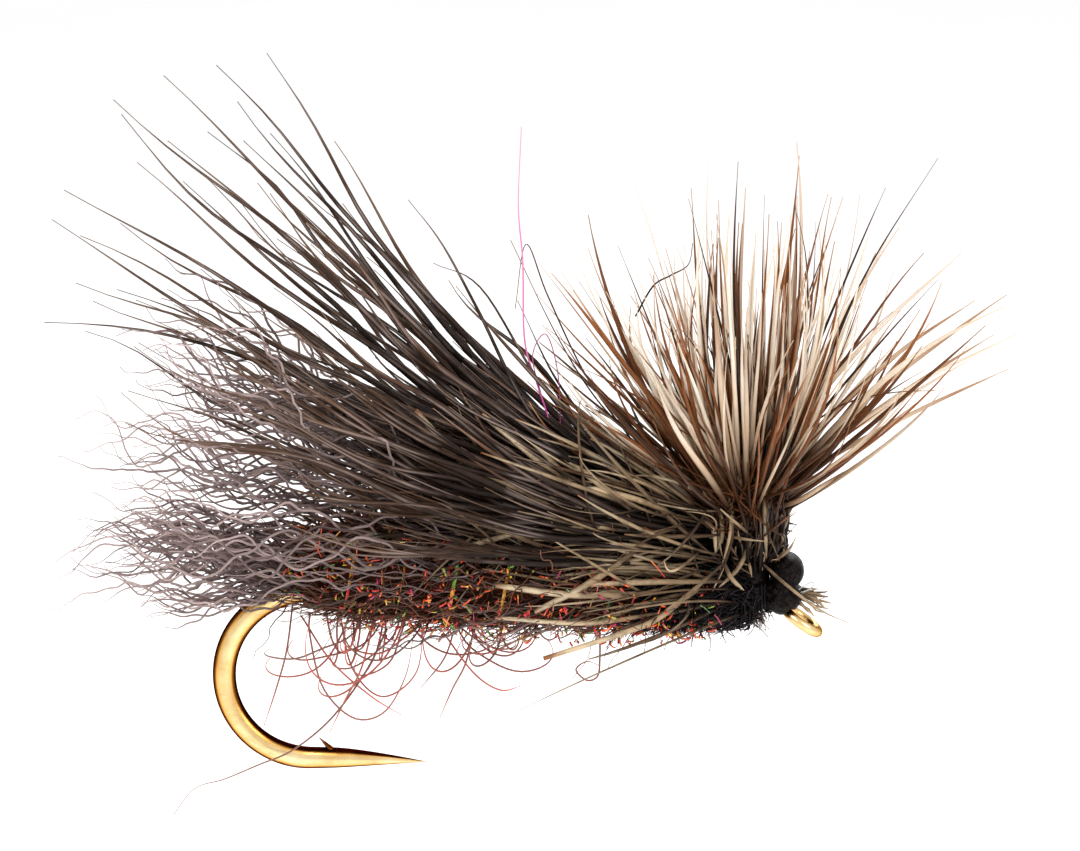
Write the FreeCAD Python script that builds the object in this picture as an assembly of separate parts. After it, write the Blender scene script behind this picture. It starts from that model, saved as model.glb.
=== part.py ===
"""Dry fly: a down-eyed barbed hook dressed as a dark winged insect, in millimetres.

The fly is an assembly of the pieces that a tyer puts on the hook, one after another: thread
underbody, dubbed abdomen with a flash rib, trailing shuck and crinkled underwing, a swept wing of
hollow hair with its trimmed butts, an upright post with two hackle feathers wound round it, a dubbed
thorax, a foam head and the thread head with its whip finish.

Frame: the origin is the centre of the hook's eye. +X points forward, out of the eye, the shank runs
back along -X, +Z is up and +Y is the fly's left side. The hook lies in the plane Y = 0.
"""
import FreeCAD, Part

import math
import os

Vector = FreeCAD.Vector

# ---------------------------------------------------------------- hook
WIRE_R = 0.24              # radius of the hook's wire
EYE_WIRE_R = 0.14          # radius of the wire where it is tapered to form the eye
EYE_RING_R = 0.46          # radius of the eye's ring, to the middle of its wire
EYE_BORE_R = 0.34          # radius of the flat land that is pressed inside the ring
EYE_ANGLE = 35.0           # how far the eye is turned down, in degrees
SHANK_Z = 0.68             # height of the shank above the eye's centre
SHANK_BACK_X = -11.44      # where the straight shank ends and the bend begins
GAPE = 4.00                # from the middle of the shank to the middle of the spear
SPEAR_LENGTH = 2.72        # from the end of the bend to the tip of the point
POINT_TAPER = 2.15         # length of the ground point
POINT_DROP = 0.10          # how far the tip lies below the spear's middle
TIP_R = 0.012              # blunt radius of the point, of the barb and of each hair's tip
BARB_FROM_POINT = 2.30     # from the tip of the point back to the barb's foot
BARB_FOOT_R = 0.09
BARB_LENGTH = 0.40
BARB_ANGLE = 48.0          # above the spear, in degrees, pointing back into the bend

# ---------------------------------------------------------------- thread, body and head
THREAD_R = 0.035           # half the thickness of one turn of waxed thread
THREAD_PITCH = 0.11        # from one turn to the next
UNDERBODY_R = WIRE_R + 2 * THREAD_R
ABDOMEN_FRONT_X = -3.90
BINDING_BACK_X = -2.05     # the turns that hold the wing down run from here to the head
BINDING_R = 0.78
HEAD_BACK_X = -1.20
HEAD_FRONT_X = -0.95
HEAD_R = 0.42
WHIP_R = 0.32
WHIP_LENGTH = 0.30
# x, half width, bottom and top of the dubbed body: it is heavier over the shank than under it
BODY_STATIONS = ((-11.64, 0.42, 0.32, 1.45), (-11.10, 0.80, 0.24, 2.10), (-9.40, 1.05, 0.14, 2.25),
                 (-7.00, 1.15, 0.04, 2.05), (-4.70, 1.12, -0.04, 1.75), (-3.90, 1.08, -0.08, 1.45),
                 (-2.90, 1.05, -0.10, 1.25), (-2.05, 0.85, -0.06, 1.15))
RIB_R = 0.045
RIB_TURNS = 6
RIB_POINTS_PER_TURN = 12
FOAM_WIDTH = 1.10
FOAM_DOME = Vector(-0.37, 0, 1.20)
FOAM_DOME_R = 0.37
FOAM_CHIN = Vector(-0.47, 0, 0.62)
FOAM_CHIN_R = 0.41
FOAM_ROUND = 0.14

# ---------------------------------------------------------------- post and hackle
POST_X = -1.30
POST_R = 0.48
POST_FOOT_Z = SHANK_Z + BINDING_R
POST_TOP_Z = 3.60
HACKLE_Z = 2.50            # lowest turn of the hackle round the post
HACKLE_TURNS = 3
HACKLE_PITCH = 0.20
QUILL_R = 0.055
QUILL_POINTS_PER_TURN = 12
HACKLE_BARBS = 44          # on each of the two feathers
HACKLE_BARB_R = 0.045
HACKLE_BARB_LENGTH = 8.4
SIDE_BARBS = 7             # on each flank

# ---------------------------------------------------------------- wing and loose fibres
# x, middle height, half width and half height of the packed root of the wing
WING_ROOT_STATIONS = ((-1.86, 2.15, 0.50, 0.62), (-2.40, 2.25, 0.85, 0.80), (-3.10, 2.45, 1.00, 0.78))
WING_HAIRS = 54
WING_HAIR_R = 0.065
WING_LENGTH = 15.0         # of the highest hairs
WING_LOW_LENGTH = 13.9     # of the lowest hairs
BUTT_HAIRS = 30
BUTT_R = 0.085
CRINKLED_R = 0.03
UNDERWING_ROOT = Vector(-3.95, 0, 2.10)
UNDERWING_FIBRES = 40
UNDERWING_LENGTH = 11.8
SHUCK_ROOT = Vector(-11.68, 0, 0.95)
SHUCK_FIBRES = 26
SHUCK_LENGTH = 4.0
GUARD_FIBRES = 22
SPARKLE_PIECES = 44

GOLDEN_TURN = math.pi * (3 - math.sqrt(5))
X_WAY, Y_WAY, Z_WAY = Vector(1, 0, 0), Vector(0, 1, 0), Vector(0, 0, 1)


# ---------------------------------------------------------------- places and numbers
def spread(index, count):
    """Point number index of count points spread evenly over a disc of radius 1."""
    radius = math.sqrt((index + 0.5) / count)
    return radius * math.cos(index * GOLDEN_TURN), radius * math.sin(index * GOLDEN_TURN)


def scatter(index, family):
    """A number from -1 to 1 that looks random over the index, and repeats from run to run."""
    value = math.sin(index * 12.9898 + family * 78.233) * 43758.5453
    return 2 * (value - math.floor(value)) - 1


def direction(up_angle, side_angle):
    """A unit vector that points back along -X, raised by one angle and swung to +Y by the other."""
    up, side = math.radians(up_angle), math.radians(side_angle)
    return Vector(-math.cos(up) * math.cos(side), math.cos(up) * math.sin(side), math.sin(up))


def swept(root, length, start_angle, end_angle, side_angle, spans):
    """Points of a strand that leaves root at one rise and bends steadily to another."""
    points = [root]
    for i in range(spans):
        share = min(1.0, 1.6 * (i + 0.5) / spans)
        rise = start_angle + (end_angle - start_angle) * share
        points.append(points[-1] + direction(rise, side_angle) * (length / spans))
    return points


def body_section(x):
    """Half width, bottom and top of the dubbed body at x."""
    x = max(BODY_STATIONS[0][0], min(BODY_STATIONS[-1][0], x))
    for low, high in zip(BODY_STATIONS, BODY_STATIONS[1:]):
        if x <= high[0]:
            share = (x - low[0]) / (high[0] - low[0])
            return [a + (b - a) * share for a, b in zip(low[1:], high[1:])]


def body_point(x, angle, lift=0.0):
    """A point at x on the dubbed body's outline, by its angle from the top towards +Y."""
    half_width, bottom, top = body_section(x)
    return Vector(x, (half_width + lift) * math.sin(angle),
                  (top + bottom) / 2 + ((top - bottom) / 2 + lift) * math.cos(angle))


# ---------------------------------------------------------------- shapes
def strand(points, radii, curled=False):
    """A five-sided strand through points. A curled one turns its section along its route."""
    way = (points[1] - points[0] if curled else points[-1] - points[0]).normalize()
    side = way.cross(Z_WAY if abs(way.z) < 0.9 else X_WAY).normalize()
    rings = []
    for i, (point, radius) in enumerate(zip(points, radii)):
        if curled:
            way = (points[min(i + 1, len(points) - 1)] - points[max(i - 1, 0)]).normalize()
            side = (side - way * side.dot(way)).normalize()
        up = way.cross(side)
        turns = [2 * math.pi * k / 5 for k in range(5)]
        rings.append([point + (side * math.cos(a) + up * math.sin(a)) * radius for a in turns])
    outlines = [rings[0], rings[-1]]
    for low, high in zip(rings, rings[1:]):
        for k in range(5):
            a, b, c, d = low[k - 1], low[k], high[k], high[k - 1]
            outlines += [[a, b, c], [a, c, d]] if curled else [[a, b, c, d]]
    faces = [Part.Face(Part.makePolygon(outline + outline[:1])) for outline in outlines]
    solid = Part.makeSolid(Part.makeShell(faces))
    if solid.Volume < 0:
        solid.reverse()
    return solid


def tapered(points, radius):
    """A hair through points that keeps its thickness for half its length and ends in a fine tip."""
    last = len(points) - 1
    return strand(points, [max(radius * (1 - (i / last) ** 2.2), TIP_R) for i in range(last + 1)])


def bowed(root, tip, bow, radius, spans=3):
    """A hair from root to tip, pushed out at its middle by the vector bow."""
    shares = [i / spans for i in range(spans + 1)]
    return tapered([root + (tip - root) * t + bow * (4 * t * (1 - t)) for t in shares], radius)


def crinkled(root, tip, bow, index, waves, height):
    """A synthetic fibre with the zigzag crimp that such fibres keep, weaker at its root."""
    across = Y_WAY.cross(tip - root).normalize()
    roll = math.radians(50 * scatter(index, 17))
    swing = across * math.cos(roll) + Y_WAY * math.sin(roll)
    points, radii = [], []
    for i in range(2 * waves + 1):
        t = i / (2 * waves)
        side = height * (1 if i % 2 else -1) * min(1.0, 2 * t)
        points.append(root + (tip - root) * t + bow * (4 * t * (1 - t)) + swing * side)
        radii.append(CRINKLED_R * (1 - 0.45 * t))
    return strand(points, radii)


def turned(outline, z):
    """The solid that a closed outline of (x, radius) points makes when turned about the line at z."""
    points = [Vector(x, 0, z + r) for x, r in outline]
    face = Part.Face(Part.makePolygon(points + points[:1]))
    return face.revolve(Vector(0, 0, z), X_WAY, 360)


def wound_sleeve(x_back, x_front, inner_r, outer_r, z):
    """Close turns of thread round the line at z, as one sleeve with a ridge for each turn."""
    turns = max(2, round((x_front - x_back) / THREAD_PITCH))
    pitch = (x_front - x_back) / turns
    groove_r = outer_r - THREAD_R * 0.6
    outline = [(x_back, inner_r), (x_back, groove_r)]
    for i in range(turns):
        middle = x_back + (i + 0.5) * pitch
        outline += [(middle - 0.25 * pitch, outer_r), (middle + 0.25 * pitch, outer_r)]
        outline.append((x_back + (i + 1) * pitch, groove_r))
    outline.append((x_front, inner_r))
    return turned(outline, z)


def ovals_loft(ovals):
    """A smooth closed body through ovals, each given as a list of points round it."""
    rings = []
    for points in ovals:
        curve = Part.BSplineCurve()
        curve.interpolate(points, True)
        rings.append(Part.Wire([curve.toShape()]))
    return Part.makeLoft(rings, True, False)


def dubbed(x_back, x_front, sections):
    """A body of dubbing lofted through oval sections and bored for the thread-covered shank."""
    angles = [math.radians(a) for a in range(0, 360, 30)]
    ovals = []
    for i in range(sections):
        x = x_back + (x_front - x_back) * i / (sections - 1)
        ovals.append([body_point(x, angle) for angle in angles])
    bore = Part.makeCylinder(UNDERBODY_R, x_front - x_back + 2, Vector(x_back - 1, 0, SHANK_Z), X_WAY)
    return ovals_loft(ovals).cut(bore)


# ---------------------------------------------------------------- the hook
def eye_leg():
    """Where the tapered leg of the eye starts on the ring, its direction, and its length."""
    down = math.radians(EYE_ANGLE)
    way = Vector(-math.cos(down), 0, math.sin(down))
    start = way * EYE_RING_R
    return start, way, (SHANK_Z - start.z) / way.z


def eye_ring():
    """The ring of the eye, with a short flat land inside it."""
    land = math.sqrt(EYE_WIRE_R ** 2 - (EYE_RING_R - EYE_BORE_R) ** 2)
    low, high = Vector(EYE_BORE_R, 0, -land), Vector(EYE_BORE_R, 0, land)
    outside = Part.Arc(low, Vector(EYE_RING_R + EYE_WIRE_R, 0, 0), high)
    section = Part.Face(Part.Wire([outside.toShape(), Part.LineSegment(high, low).toShape()]))
    ring = section.revolve(Vector(0, 0, 0), Z_WAY, 360)
    ring.rotate(Vector(0, 0, 0), Y_WAY, EYE_ANGLE)
    return ring


def hook():
    """One wire: ring eye turned down, straight shank, round bend, ground point and raised barb."""
    leg_start, leg_way, leg_length = eye_leg()
    corner = leg_start + leg_way * leg_length
    leg = Part.makeCone(EYE_WIRE_R, WIRE_R, leg_length, leg_start, leg_way)
    knee = Part.makeSphere(WIRE_R * 1.03, corner)
    shank = Part.makeCylinder(WIRE_R, corner.x - SHANK_BACK_X, corner, Vector(-1, 0, 0))

    top = Vector(SHANK_BACK_X, 0, SHANK_Z)
    bottom = top - Vector(0, 0, GAPE)
    wire_end = Part.Face(Part.Wire([Part.Circle(top, X_WAY, WIRE_R).toShape()]))
    bend = wire_end.revolve((top + bottom) * 0.5, Vector(0, -1, 0), 180)

    straight = SPEAR_LENGTH - POINT_TAPER
    spear = Part.makeCylinder(WIRE_R, straight, bottom, X_WAY)
    tip_way = Vector(POINT_TAPER, 0, -POINT_DROP)
    point = Part.makeCone(WIRE_R * 1.01, TIP_R, tip_way.Length, bottom + X_WAY * straight, tip_way)
    rise = math.radians(BARB_ANGLE)
    foot = bottom + Vector(SPEAR_LENGTH - BARB_FROM_POINT, 0, WIRE_R * 0.55)
    barb = Part.makeCone(BARB_FOOT_R, TIP_R, BARB_LENGTH, foot,
                         Vector(-math.cos(rise), 0, math.sin(rise)))
    wire = eye_ring()
    for piece in (leg, knee, shank, bend, spear, point, barb):
        wire = wire.fuse(piece)
    return wire


# ---------------------------------------------------------------- body
def rib_strand():
    """The flash rib: one strand in open turns over the abdomen."""
    start, end = BODY_STATIONS[0][0] + 0.35, ABDOMEN_FRONT_X - 0.35
    count = RIB_TURNS * RIB_POINTS_PER_TURN
    points = [body_point(start + (end - start) * i / count, 2 * math.pi * i / RIB_POINTS_PER_TURN, RIB_R)
              for i in range(count + 1)]
    return strand(points, [RIB_R] * len(points), True)


def guard_fibres():
    """Long springy fibres that curl out of the belly and back in."""
    fibres = []
    for i in range(GUARD_FIBRES):
        x = -11.0 + 8.6 * (i + 0.5) / GUARD_FIBRES
        side = 0.45 * scatter(i, 8)
        depth = 0.80 + 0.70 * abs(scatter(i, 9))
        width = 0.55 + 0.45 * abs(scatter(i, 10))
        points = []
        for step in range(8):
            angle = math.pi * step / 7
            here = x - width * math.cos(angle)
            points.append(Vector(here, side * (1 + 0.6 * math.sin(angle)),
                                 body_section(here)[1] + 0.05 - depth * math.sin(angle)))
        fibres.append(strand(points, [0.022] * len(points), True))
    return fibres


def sparkle_fibres():
    """Short bits of flash film that stand out of the dubbing all round the body."""
    start, end = BODY_STATIONS[0][0] + 0.4, BINDING_BACK_X - 0.4
    pieces = []
    for i in range(SPARKLE_PIECES):
        x = start + (end - start) * (i + 0.5) / SPARKLE_PIECES
        angle = i * GOLDEN_TURN
        foot, tip = body_point(x, angle, 0.03), body_point(x, angle + 0.3 * scatter(i, 12), 0.16)
        pieces.append(strand([foot, tip + X_WAY * (0.22 * scatter(i, 11))], [0.03, 0.02]))
    return pieces


def stray_fibre():
    """One long fibre that has worked loose from the belly and trails down past the bend."""
    route = ((-9.6, -0.75, -0.35), (-10.4, -0.90, -1.80), (-11.3, -0.95, -2.75),
             (-12.2, -1.00, -3.10), (-13.1, -1.00, -3.65), (-14.1, -0.90, -3.95),
             (-14.6, -0.80, -4.50))
    return strand([Vector(*place) for place in route], [0.026 - 0.002 * i for i in range(len(route))])


# ---------------------------------------------------------------- tail, underwing and wing
def trailing_shuck():
    """A short bunch of crinkled fibre, tied in at the bend."""
    fibres = []
    for i in range(SHUCK_FIBRES):
        u, v = spread(i, SHUCK_FIBRES)
        root = SHUCK_ROOT + Vector(0, 0.36 * u, 0.36 * v)
        tip = root + direction(-2 + 15 * v, 20 * u) * (SHUCK_LENGTH + 0.5 * scatter(i, 5))
        fibres.append(crinkled(root, tip, Vector(0, 0, 0.1 * v), i, 3, 0.12))
    return fibres


def underwing_fibres():
    """Crinkled fibres that lie over the abdomen and reach back past the bend in a deep fan."""
    fibres = []
    for i in range(UNDERWING_FIBRES):
        u, v = spread(i, UNDERWING_FIBRES)
        root = UNDERWING_ROOT + Vector(0, 0.95 * u, 0.22 * v)
        tip = root + direction(13 + 13 * v, 12 * u) * (UNDERWING_LENGTH + 0.9 * scatter(i, 4))
        fibres.append(crinkled(root, tip, Vector(0, 0, 0.15 + 0.25 * v), i, 4, 0.16))
    return fibres


def wing_root():
    """The packed root of the wing, where the hairs lie pressed together behind the post."""
    angles = [math.radians(a) for a in range(0, 360, 30)]
    return ovals_loft([[Vector(x, half_width * math.sin(a), z + half_height * math.cos(a)) for a in angles]
                       for x, z, half_width, half_height in WING_ROOT_STATIONS])


def hair_wing():
    """Hollow hairs that leave the wing's root together and fan out back, up and to both sides."""
    x, z, half_width, half_height = WING_ROOT_STATIONS[-1]
    hairs = []
    for i in range(WING_HAIRS):
        u, v = spread(i, WING_HAIRS)
        root = Vector(x - 0.01, 0.9 * half_width * u, z + 0.9 * half_height * v)
        length = (WING_LENGTH + WING_LOW_LENGTH) / 2 + (WING_LENGTH - WING_LOW_LENGTH) / 2 * v
        length += 0.8 * scatter(i, 1) - 0.9 * abs(u)
        points = swept(root, length, 11 + 8 * v, 33 + 21 * v, 17 * u, 4)
        hairs.append(tapered(points, WING_HAIR_R * (1 + 0.25 * scatter(i, 2))))
    return hairs


def wing_butts():
    """The trimmed butts of the hair, flared back over the foot of the wing and down its flanks."""
    hairs = []
    for i in range(BUTT_HAIRS):
        side = 1 if i % 2 else -1
        share = (i + 0.5) / BUTT_HAIRS
        root = Vector(-2.10, side * (0.98 + 0.14 * share), 2.75 - 2.0 * share)
        way = direction(30 - 40 * share + 6 * scatter(i, 3), side * (8 + 7 * abs(scatter(i, 18))))
        length = 4.4 + 1.6 * scatter(i, 19)
        points = [root + way * (length * t) for t in (0, 0.35, 0.7, 1)]
        hairs.append(strand(points, [BUTT_R * thickness for thickness in (0.55, 0.9, 1.0, 0.8)]))
    return hairs


def wing_binding():
    """The broad band of thread that holds the wing, the underwing and the post to the shank."""
    return wound_sleeve(BINDING_BACK_X, HEAD_BACK_X, WIRE_R, BINDING_R, SHANK_Z)


# ---------------------------------------------------------------- post and hackle
def wing_post():
    """The upright bundle that the hackle is wound on, splayed a little at its top."""
    outline = [(POST_FOOT_Z, 0), (POST_FOOT_Z, POST_R), (POST_TOP_Z - 0.3, POST_R),
               (POST_TOP_Z, POST_R * 1.25), (POST_TOP_Z, 0)]
    return stand_on_post(turned(outline, 0))


def post_wraps():
    """Turns of thread that gather the post and carry the hackle."""
    top = HACKLE_Z + HACKLE_TURNS * HACKLE_PITCH
    return stand_on_post(wound_sleeve(POST_FOOT_Z + 0.45, top, POST_R, POST_R + 2 * THREAD_R, 0))


def stand_on_post(shape):
    """Turns a shape made along +X about the origin to stand upright along the post."""
    shape.rotate(Vector(0, 0, 0), Y_WAY, -90)
    shape.translate(Vector(POST_X, 0, 0))
    return shape


def quill(start):
    """A feather's stripped quill, wound round the wraps of the post between the other's turns."""
    radius = POST_R + 2 * THREAD_R + QUILL_R
    last = QUILL_POINTS_PER_TURN * HACKLE_TURNS // 2
    points = []
    for i in range(last + 1):
        turns = i / QUILL_POINTS_PER_TURN
        angle = start + 2 * math.pi * turns
        points.append(Vector(POST_X + radius * math.cos(angle), radius * math.sin(angle),
                             HACKLE_Z + 2 * HACKLE_PITCH * turns))
    return strand(points, [QUILL_R * (1 - 0.3 * i / last) for i in range(last + 1)], True)


def hackle_barbs(start, family):
    """The barbs of one wound feather: they stand out round the post and sweep up into a bowl."""
    barbs = []
    for i in range(HACKLE_BARBS):
        share = (i + 0.5) / HACKLE_BARBS
        angle = start + 2 * math.pi * HACKLE_TURNS * share
        out = Vector(math.cos(angle), math.sin(angle), 0)
        root = Vector(POST_X, 0, HACKLE_Z + HACKLE_PITCH * HACKLE_TURNS * share)
        root += out * (POST_R + 2 * THREAD_R + 2 * QUILL_R)
        lean = math.radians(42 - 28 * share + 14 * scatter(i, family) + 9 * out.x)
        length = HACKLE_BARB_LENGTH * (1 - 0.18 * abs(scatter(i, family + 1)))
        tip = root + (out * math.sin(lean) + Z_WAY * math.cos(lean)) * length
        radius = HACKLE_BARB_R * (1 + 0.3 * scatter(i, family + 2))
        barbs.append(bowed(root, tip, out * 0.3 - Z_WAY * 0.3, radius))
    return barbs


def side_barbs():
    """Soft barbs that sweep back and down along both flanks, like legs."""
    barbs = []
    for side in (-1, 1):
        for i in range(SIDE_BARBS):
            root = Vector(-1.60, side * (0.86 + 0.03 * i), 0.50 + 0.14 * i)
            way = direction(-17 + 3.5 * i, side * (13 + 6 * scatter(i, 6)))
            tip = root + way * (5.2 + 0.6 * scatter(i, 7))
            barbs.append(bowed(root, tip, Vector(0, side * 0.25, 0.10), 0.055))
    return barbs


def flash_strands():
    """Two very fine strands of flash that stand up out of the wing's foot."""
    strands = []
    for lean, height in ((-0.35, 7.4), (0.15, 5.2)):
        foot = Vector(-5.6 + lean, -0.4, 4.2)
        points = [foot + Vector(-0.55 * math.sin(2.6 * t) + lean * t, -0.3 * t, height * t)
                  for t in (0, 0.2, 0.4, 0.6, 0.8, 1)]
        strands.append(strand(points, [0.02] * len(points)))
    return strands


# ---------------------------------------------------------------- head
def thread_head():
    """Thread built up behind the eye into a small barrel."""
    return wound_sleeve(HEAD_BACK_X, HEAD_FRONT_X, WIRE_R, HEAD_R, SHANK_Z)


def whip_finish():
    """The locking turns round the leg of the eye."""
    leg_start, leg_way, leg_length = eye_leg()
    sleeve = wound_sleeve(0, WHIP_LENGTH, WIRE_R, WHIP_R, 0)
    sleeve.rotate(Vector(0, 0, 0), Y_WAY, 180 + EYE_ANGLE)
    sleeve.translate(leg_start + leg_way * (leg_length - 0.12))
    return sleeve


def foam_head():
    """The end of a foam strip: a dome over a chin, pressed down over the leg of the eye."""
    lobes = []
    for centre, radius in ((FOAM_DOME, FOAM_DOME_R), (FOAM_CHIN, FOAM_CHIN_R)):
        lobe = Part.makeCylinder(radius, FOAM_WIDTH, centre - Y_WAY * (FOAM_WIDTH / 2), Y_WAY)
        rims = [edge for edge in lobe.Edges if isinstance(edge.Curve, Part.Circle)]
        lobes.append(lobe.makeFillet(FOAM_ROUND, rims))
    leg_start, leg_way, _ = eye_leg()
    axis = leg_way.cross(Y_WAY)
    room = EYE_WIRE_R + 0.03
    slot = Part.makeCylinder(WHIP_R + 0.01, 3, leg_start, leg_way)
    notch = Part.makeCylinder(EYE_RING_R + room, 1.2, axis * (1.2 - room), axis * -1)
    barrel = Part.makeCylinder(HEAD_R + 0.01, 1.0, Vector(HEAD_FRONT_X - 1.0, 0, SHANK_Z), X_WAY)
    return lobes[0].fuse(lobes[1]).cut(slot).cut(notch).cut(barrel)


def snout_hairs():
    """A few broken hair ends that stick out forward over the eye."""
    hairs = []
    for i in range(7):
        root = Vector(-0.04, 0.13 * (i - 3), 0.60 + 0.08 * scatter(i, 13))
        tip = root + Vector(0.75 + 0.30 * scatter(i, 14), 0.10 * (i - 3), -0.30 + 0.20 * scatter(i, 15))
        hairs.append(bowed(root, tip, Vector(0, 0, 0.04), 0.045, 2))
    return hairs


def belly_fluff():
    """A little tuft of loose dubbing under the head."""
    fibres = []
    for i in range(9):
        u, v = spread(i, 9)
        root = Vector(-1.08 + 0.10 * u, 0.20 * v, SHANK_Z - HEAD_R - 0.02)
        tip = root + Vector(0.15 + 0.25 * u, 0.25 * v, -0.48)
        fibres.append(bowed(root, tip, Vector(-0.08, 0, -0.05), 0.02))
    return fibres


def thread_tag():
    """The trimmed end of the tying thread, a tiny crook in front of the foam."""
    route = (Vector(0.02, -0.30, 0.86), Vector(0.20, -0.36, 1.02), Vector(0.26, -0.38, 0.96))
    return strand(route, [THREAD_R * 0.5] * len(route))


# ---------------------------------------------------------------- files
def save(name, shape):
    """Writes one node as STEP, from one solid or a list of separate ones."""
    parts = shape if isinstance(shape, list) else [shape]
    solids = [solid for part in parts for solid in part.Solids]
    for solid in solids:
        if not solid.isValid() or solid.Volume <= 0:
            raise ValueError(f"{name} holds a bad solid")
    whole = solids[0] if len(solids) == 1 else Part.makeCompound(solids)
    whole.exportStep(f"parts/{name}.step")
    box = whole.BoundBox
    print(f"{name}: {len(solids)} solids, {sum(s.Volume for s in solids):.3f} mm3,"
          f" x {box.XMin:.2f}..{box.XMax:.2f} y {box.YMin:.2f}..{box.YMax:.2f}"
          f" z {box.ZMin:.2f}..{box.ZMax:.2f}")


def main():
    os.makedirs("parts", exist_ok=True)
    save("hook", hook())
    save("thread_underbody", wound_sleeve(SHANK_BACK_X, BINDING_BACK_X, WIRE_R, UNDERBODY_R, SHANK_Z))
    save("abdomen_dubbing", dubbed(BODY_STATIONS[0][0], ABDOMEN_FRONT_X, 9))
    save("thorax_dubbing", dubbed(ABDOMEN_FRONT_X, BINDING_BACK_X, 5))
    save("rib_strand", rib_strand())
    save("guard_fibres", guard_fibres())
    save("sparkle_fibres", sparkle_fibres())
    save("stray_fibre", stray_fibre())
    save("trailing_shuck", trailing_shuck())
    save("underwing_fibres", underwing_fibres())
    save("wing_root", wing_root())
    save("hair_wing", hair_wing())
    save("wing_butts", wing_butts())
    save("wing_binding", wing_binding())
    save("wing_post", wing_post())
    save("post_wraps", post_wraps())
    save("brown_hackle_quill", quill(0.0))
    save("grizzly_hackle_quill", quill(math.pi))
    save("brown_hackle_barbs", hackle_barbs(0.3, 20))
    save("grizzly_hackle_barbs", hackle_barbs(2.1, 30))
    save("side_barbs", side_barbs())
    save("flash_strands", flash_strands())
    save("thread_head", thread_head())
    save("whip_finish", whip_finish())
    save("foam_head", foam_head())
    save("snout_hairs", snout_hairs())
    save("belly_fluff", belly_fluff())
    save("thread_tag", thread_tag())


main()
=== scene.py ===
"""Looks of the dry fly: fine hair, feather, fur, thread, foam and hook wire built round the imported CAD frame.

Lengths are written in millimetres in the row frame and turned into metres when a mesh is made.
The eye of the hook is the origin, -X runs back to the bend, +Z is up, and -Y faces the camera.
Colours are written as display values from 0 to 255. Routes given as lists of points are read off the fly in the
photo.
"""

import math

import bpy
import numpy as np
from mathutils import Matrix, Vector, noise


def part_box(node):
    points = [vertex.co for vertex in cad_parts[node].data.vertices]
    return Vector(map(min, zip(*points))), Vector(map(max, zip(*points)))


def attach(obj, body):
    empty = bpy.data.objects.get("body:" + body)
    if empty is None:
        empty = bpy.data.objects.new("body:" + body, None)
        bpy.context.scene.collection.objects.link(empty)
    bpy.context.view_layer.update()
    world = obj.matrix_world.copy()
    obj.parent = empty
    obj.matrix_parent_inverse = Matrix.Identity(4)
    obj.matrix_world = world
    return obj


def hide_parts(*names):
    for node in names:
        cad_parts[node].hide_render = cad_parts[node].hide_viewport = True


MM = 0.001
UP, BACK = np.array([0.0, 0.0, 1.0]), np.array([-1.0, 0.0, 0.0])
SIDES = (-1, 1)            # the near and the far side of the fly

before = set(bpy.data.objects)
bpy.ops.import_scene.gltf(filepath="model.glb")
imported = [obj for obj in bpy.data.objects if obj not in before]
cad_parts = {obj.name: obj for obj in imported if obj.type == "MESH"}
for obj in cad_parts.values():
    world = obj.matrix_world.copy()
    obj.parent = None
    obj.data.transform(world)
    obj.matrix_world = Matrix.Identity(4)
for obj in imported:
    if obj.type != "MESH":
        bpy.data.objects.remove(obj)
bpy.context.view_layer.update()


# ---- places read from the frame
def corners(node):
    """Lowest and highest corner of a CAD node, in millimetres."""
    low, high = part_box(node)
    return np.array(low) / MM, np.array(high) / MM


HOOK_LOW, HOOK_HIGH = corners("hook")
WIRE_R = 0.24
SHANK_Z = HOOK_HIGH[2] - WIRE_R
BEND_R = (HOOK_HIGH[2] - HOOK_LOW[2]) / 2 - WIRE_R
BEND_X = HOOK_LOW[0] + WIRE_R + BEND_R
EYE_ANGLE = math.radians(35)
EYE_LEG = np.array([-math.cos(EYE_ANGLE), 0, math.sin(EYE_ANGLE)])
POST_LOW, POST_HIGH = corners("wing_post")
POST_X = (POST_LOW[0] + POST_HIGH[0]) / 2
HACKLE_Z = corners("brown_hackle_quill")[0][2]
HACKLE_FOOT = np.array([POST_X, 0, HACKLE_Z])
WING_LOW, WING_HIGH = corners("wing_root")
WING_ROOT = np.array([(WING_LOW[0] + WING_HIGH[0]) / 2, 0, (WING_LOW[2] + WING_HIGH[2]) / 2])
BODY_BACK = corners("abdomen_dubbing")[0][0]
THORAX_FRONT = corners("thorax_dubbing")[1][0]


# ---- numbers and directions
class Dice:
    """Seeded random numbers, one for each of the count strands that are being made."""

    def __init__(self, seed):
        self.rng, self.count = np.random.default_rng(seed), 1

    def flat(self, low, high):
        return self.rng.uniform(low, high, self.count)

    def bell(self, middle, spread):
        return self.rng.normal(middle, spread, self.count)

    def skewed(self, up, down):
        """Values from 0 to 1 that lean up or down, whichever of the two numbers is the larger."""
        return self.rng.beta(up, down, self.count)

    def cloud(self, spread):
        """A small random vector for each strand."""
        return self.rng.normal(0, spread, (self.count, 3))

    def between(self, limits):
        """Values between a pair of limits. Anything but a pair is given back as it is."""
        return self.flat(*limits) if isinstance(limits, tuple) else limits


def column(values):
    """Numbers, one for each strand, as a column that multiplies directions."""
    return np.reshape(np.asarray(values, float), (-1, 1))


def xyz(x, y, z):
    """Places from their coordinates, each of them a number or one number for each strand."""
    return np.stack(np.broadcast_arrays(x, y, z), -1).astype(float)


def unit(vectors):
    return vectors / np.linalg.norm(vectors, axis=-1, keepdims=True)


def level_way(angle):
    """Level directions, by their angle about the vertical."""
    return xyz(np.cos(angle), np.sin(angle), 0)


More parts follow.
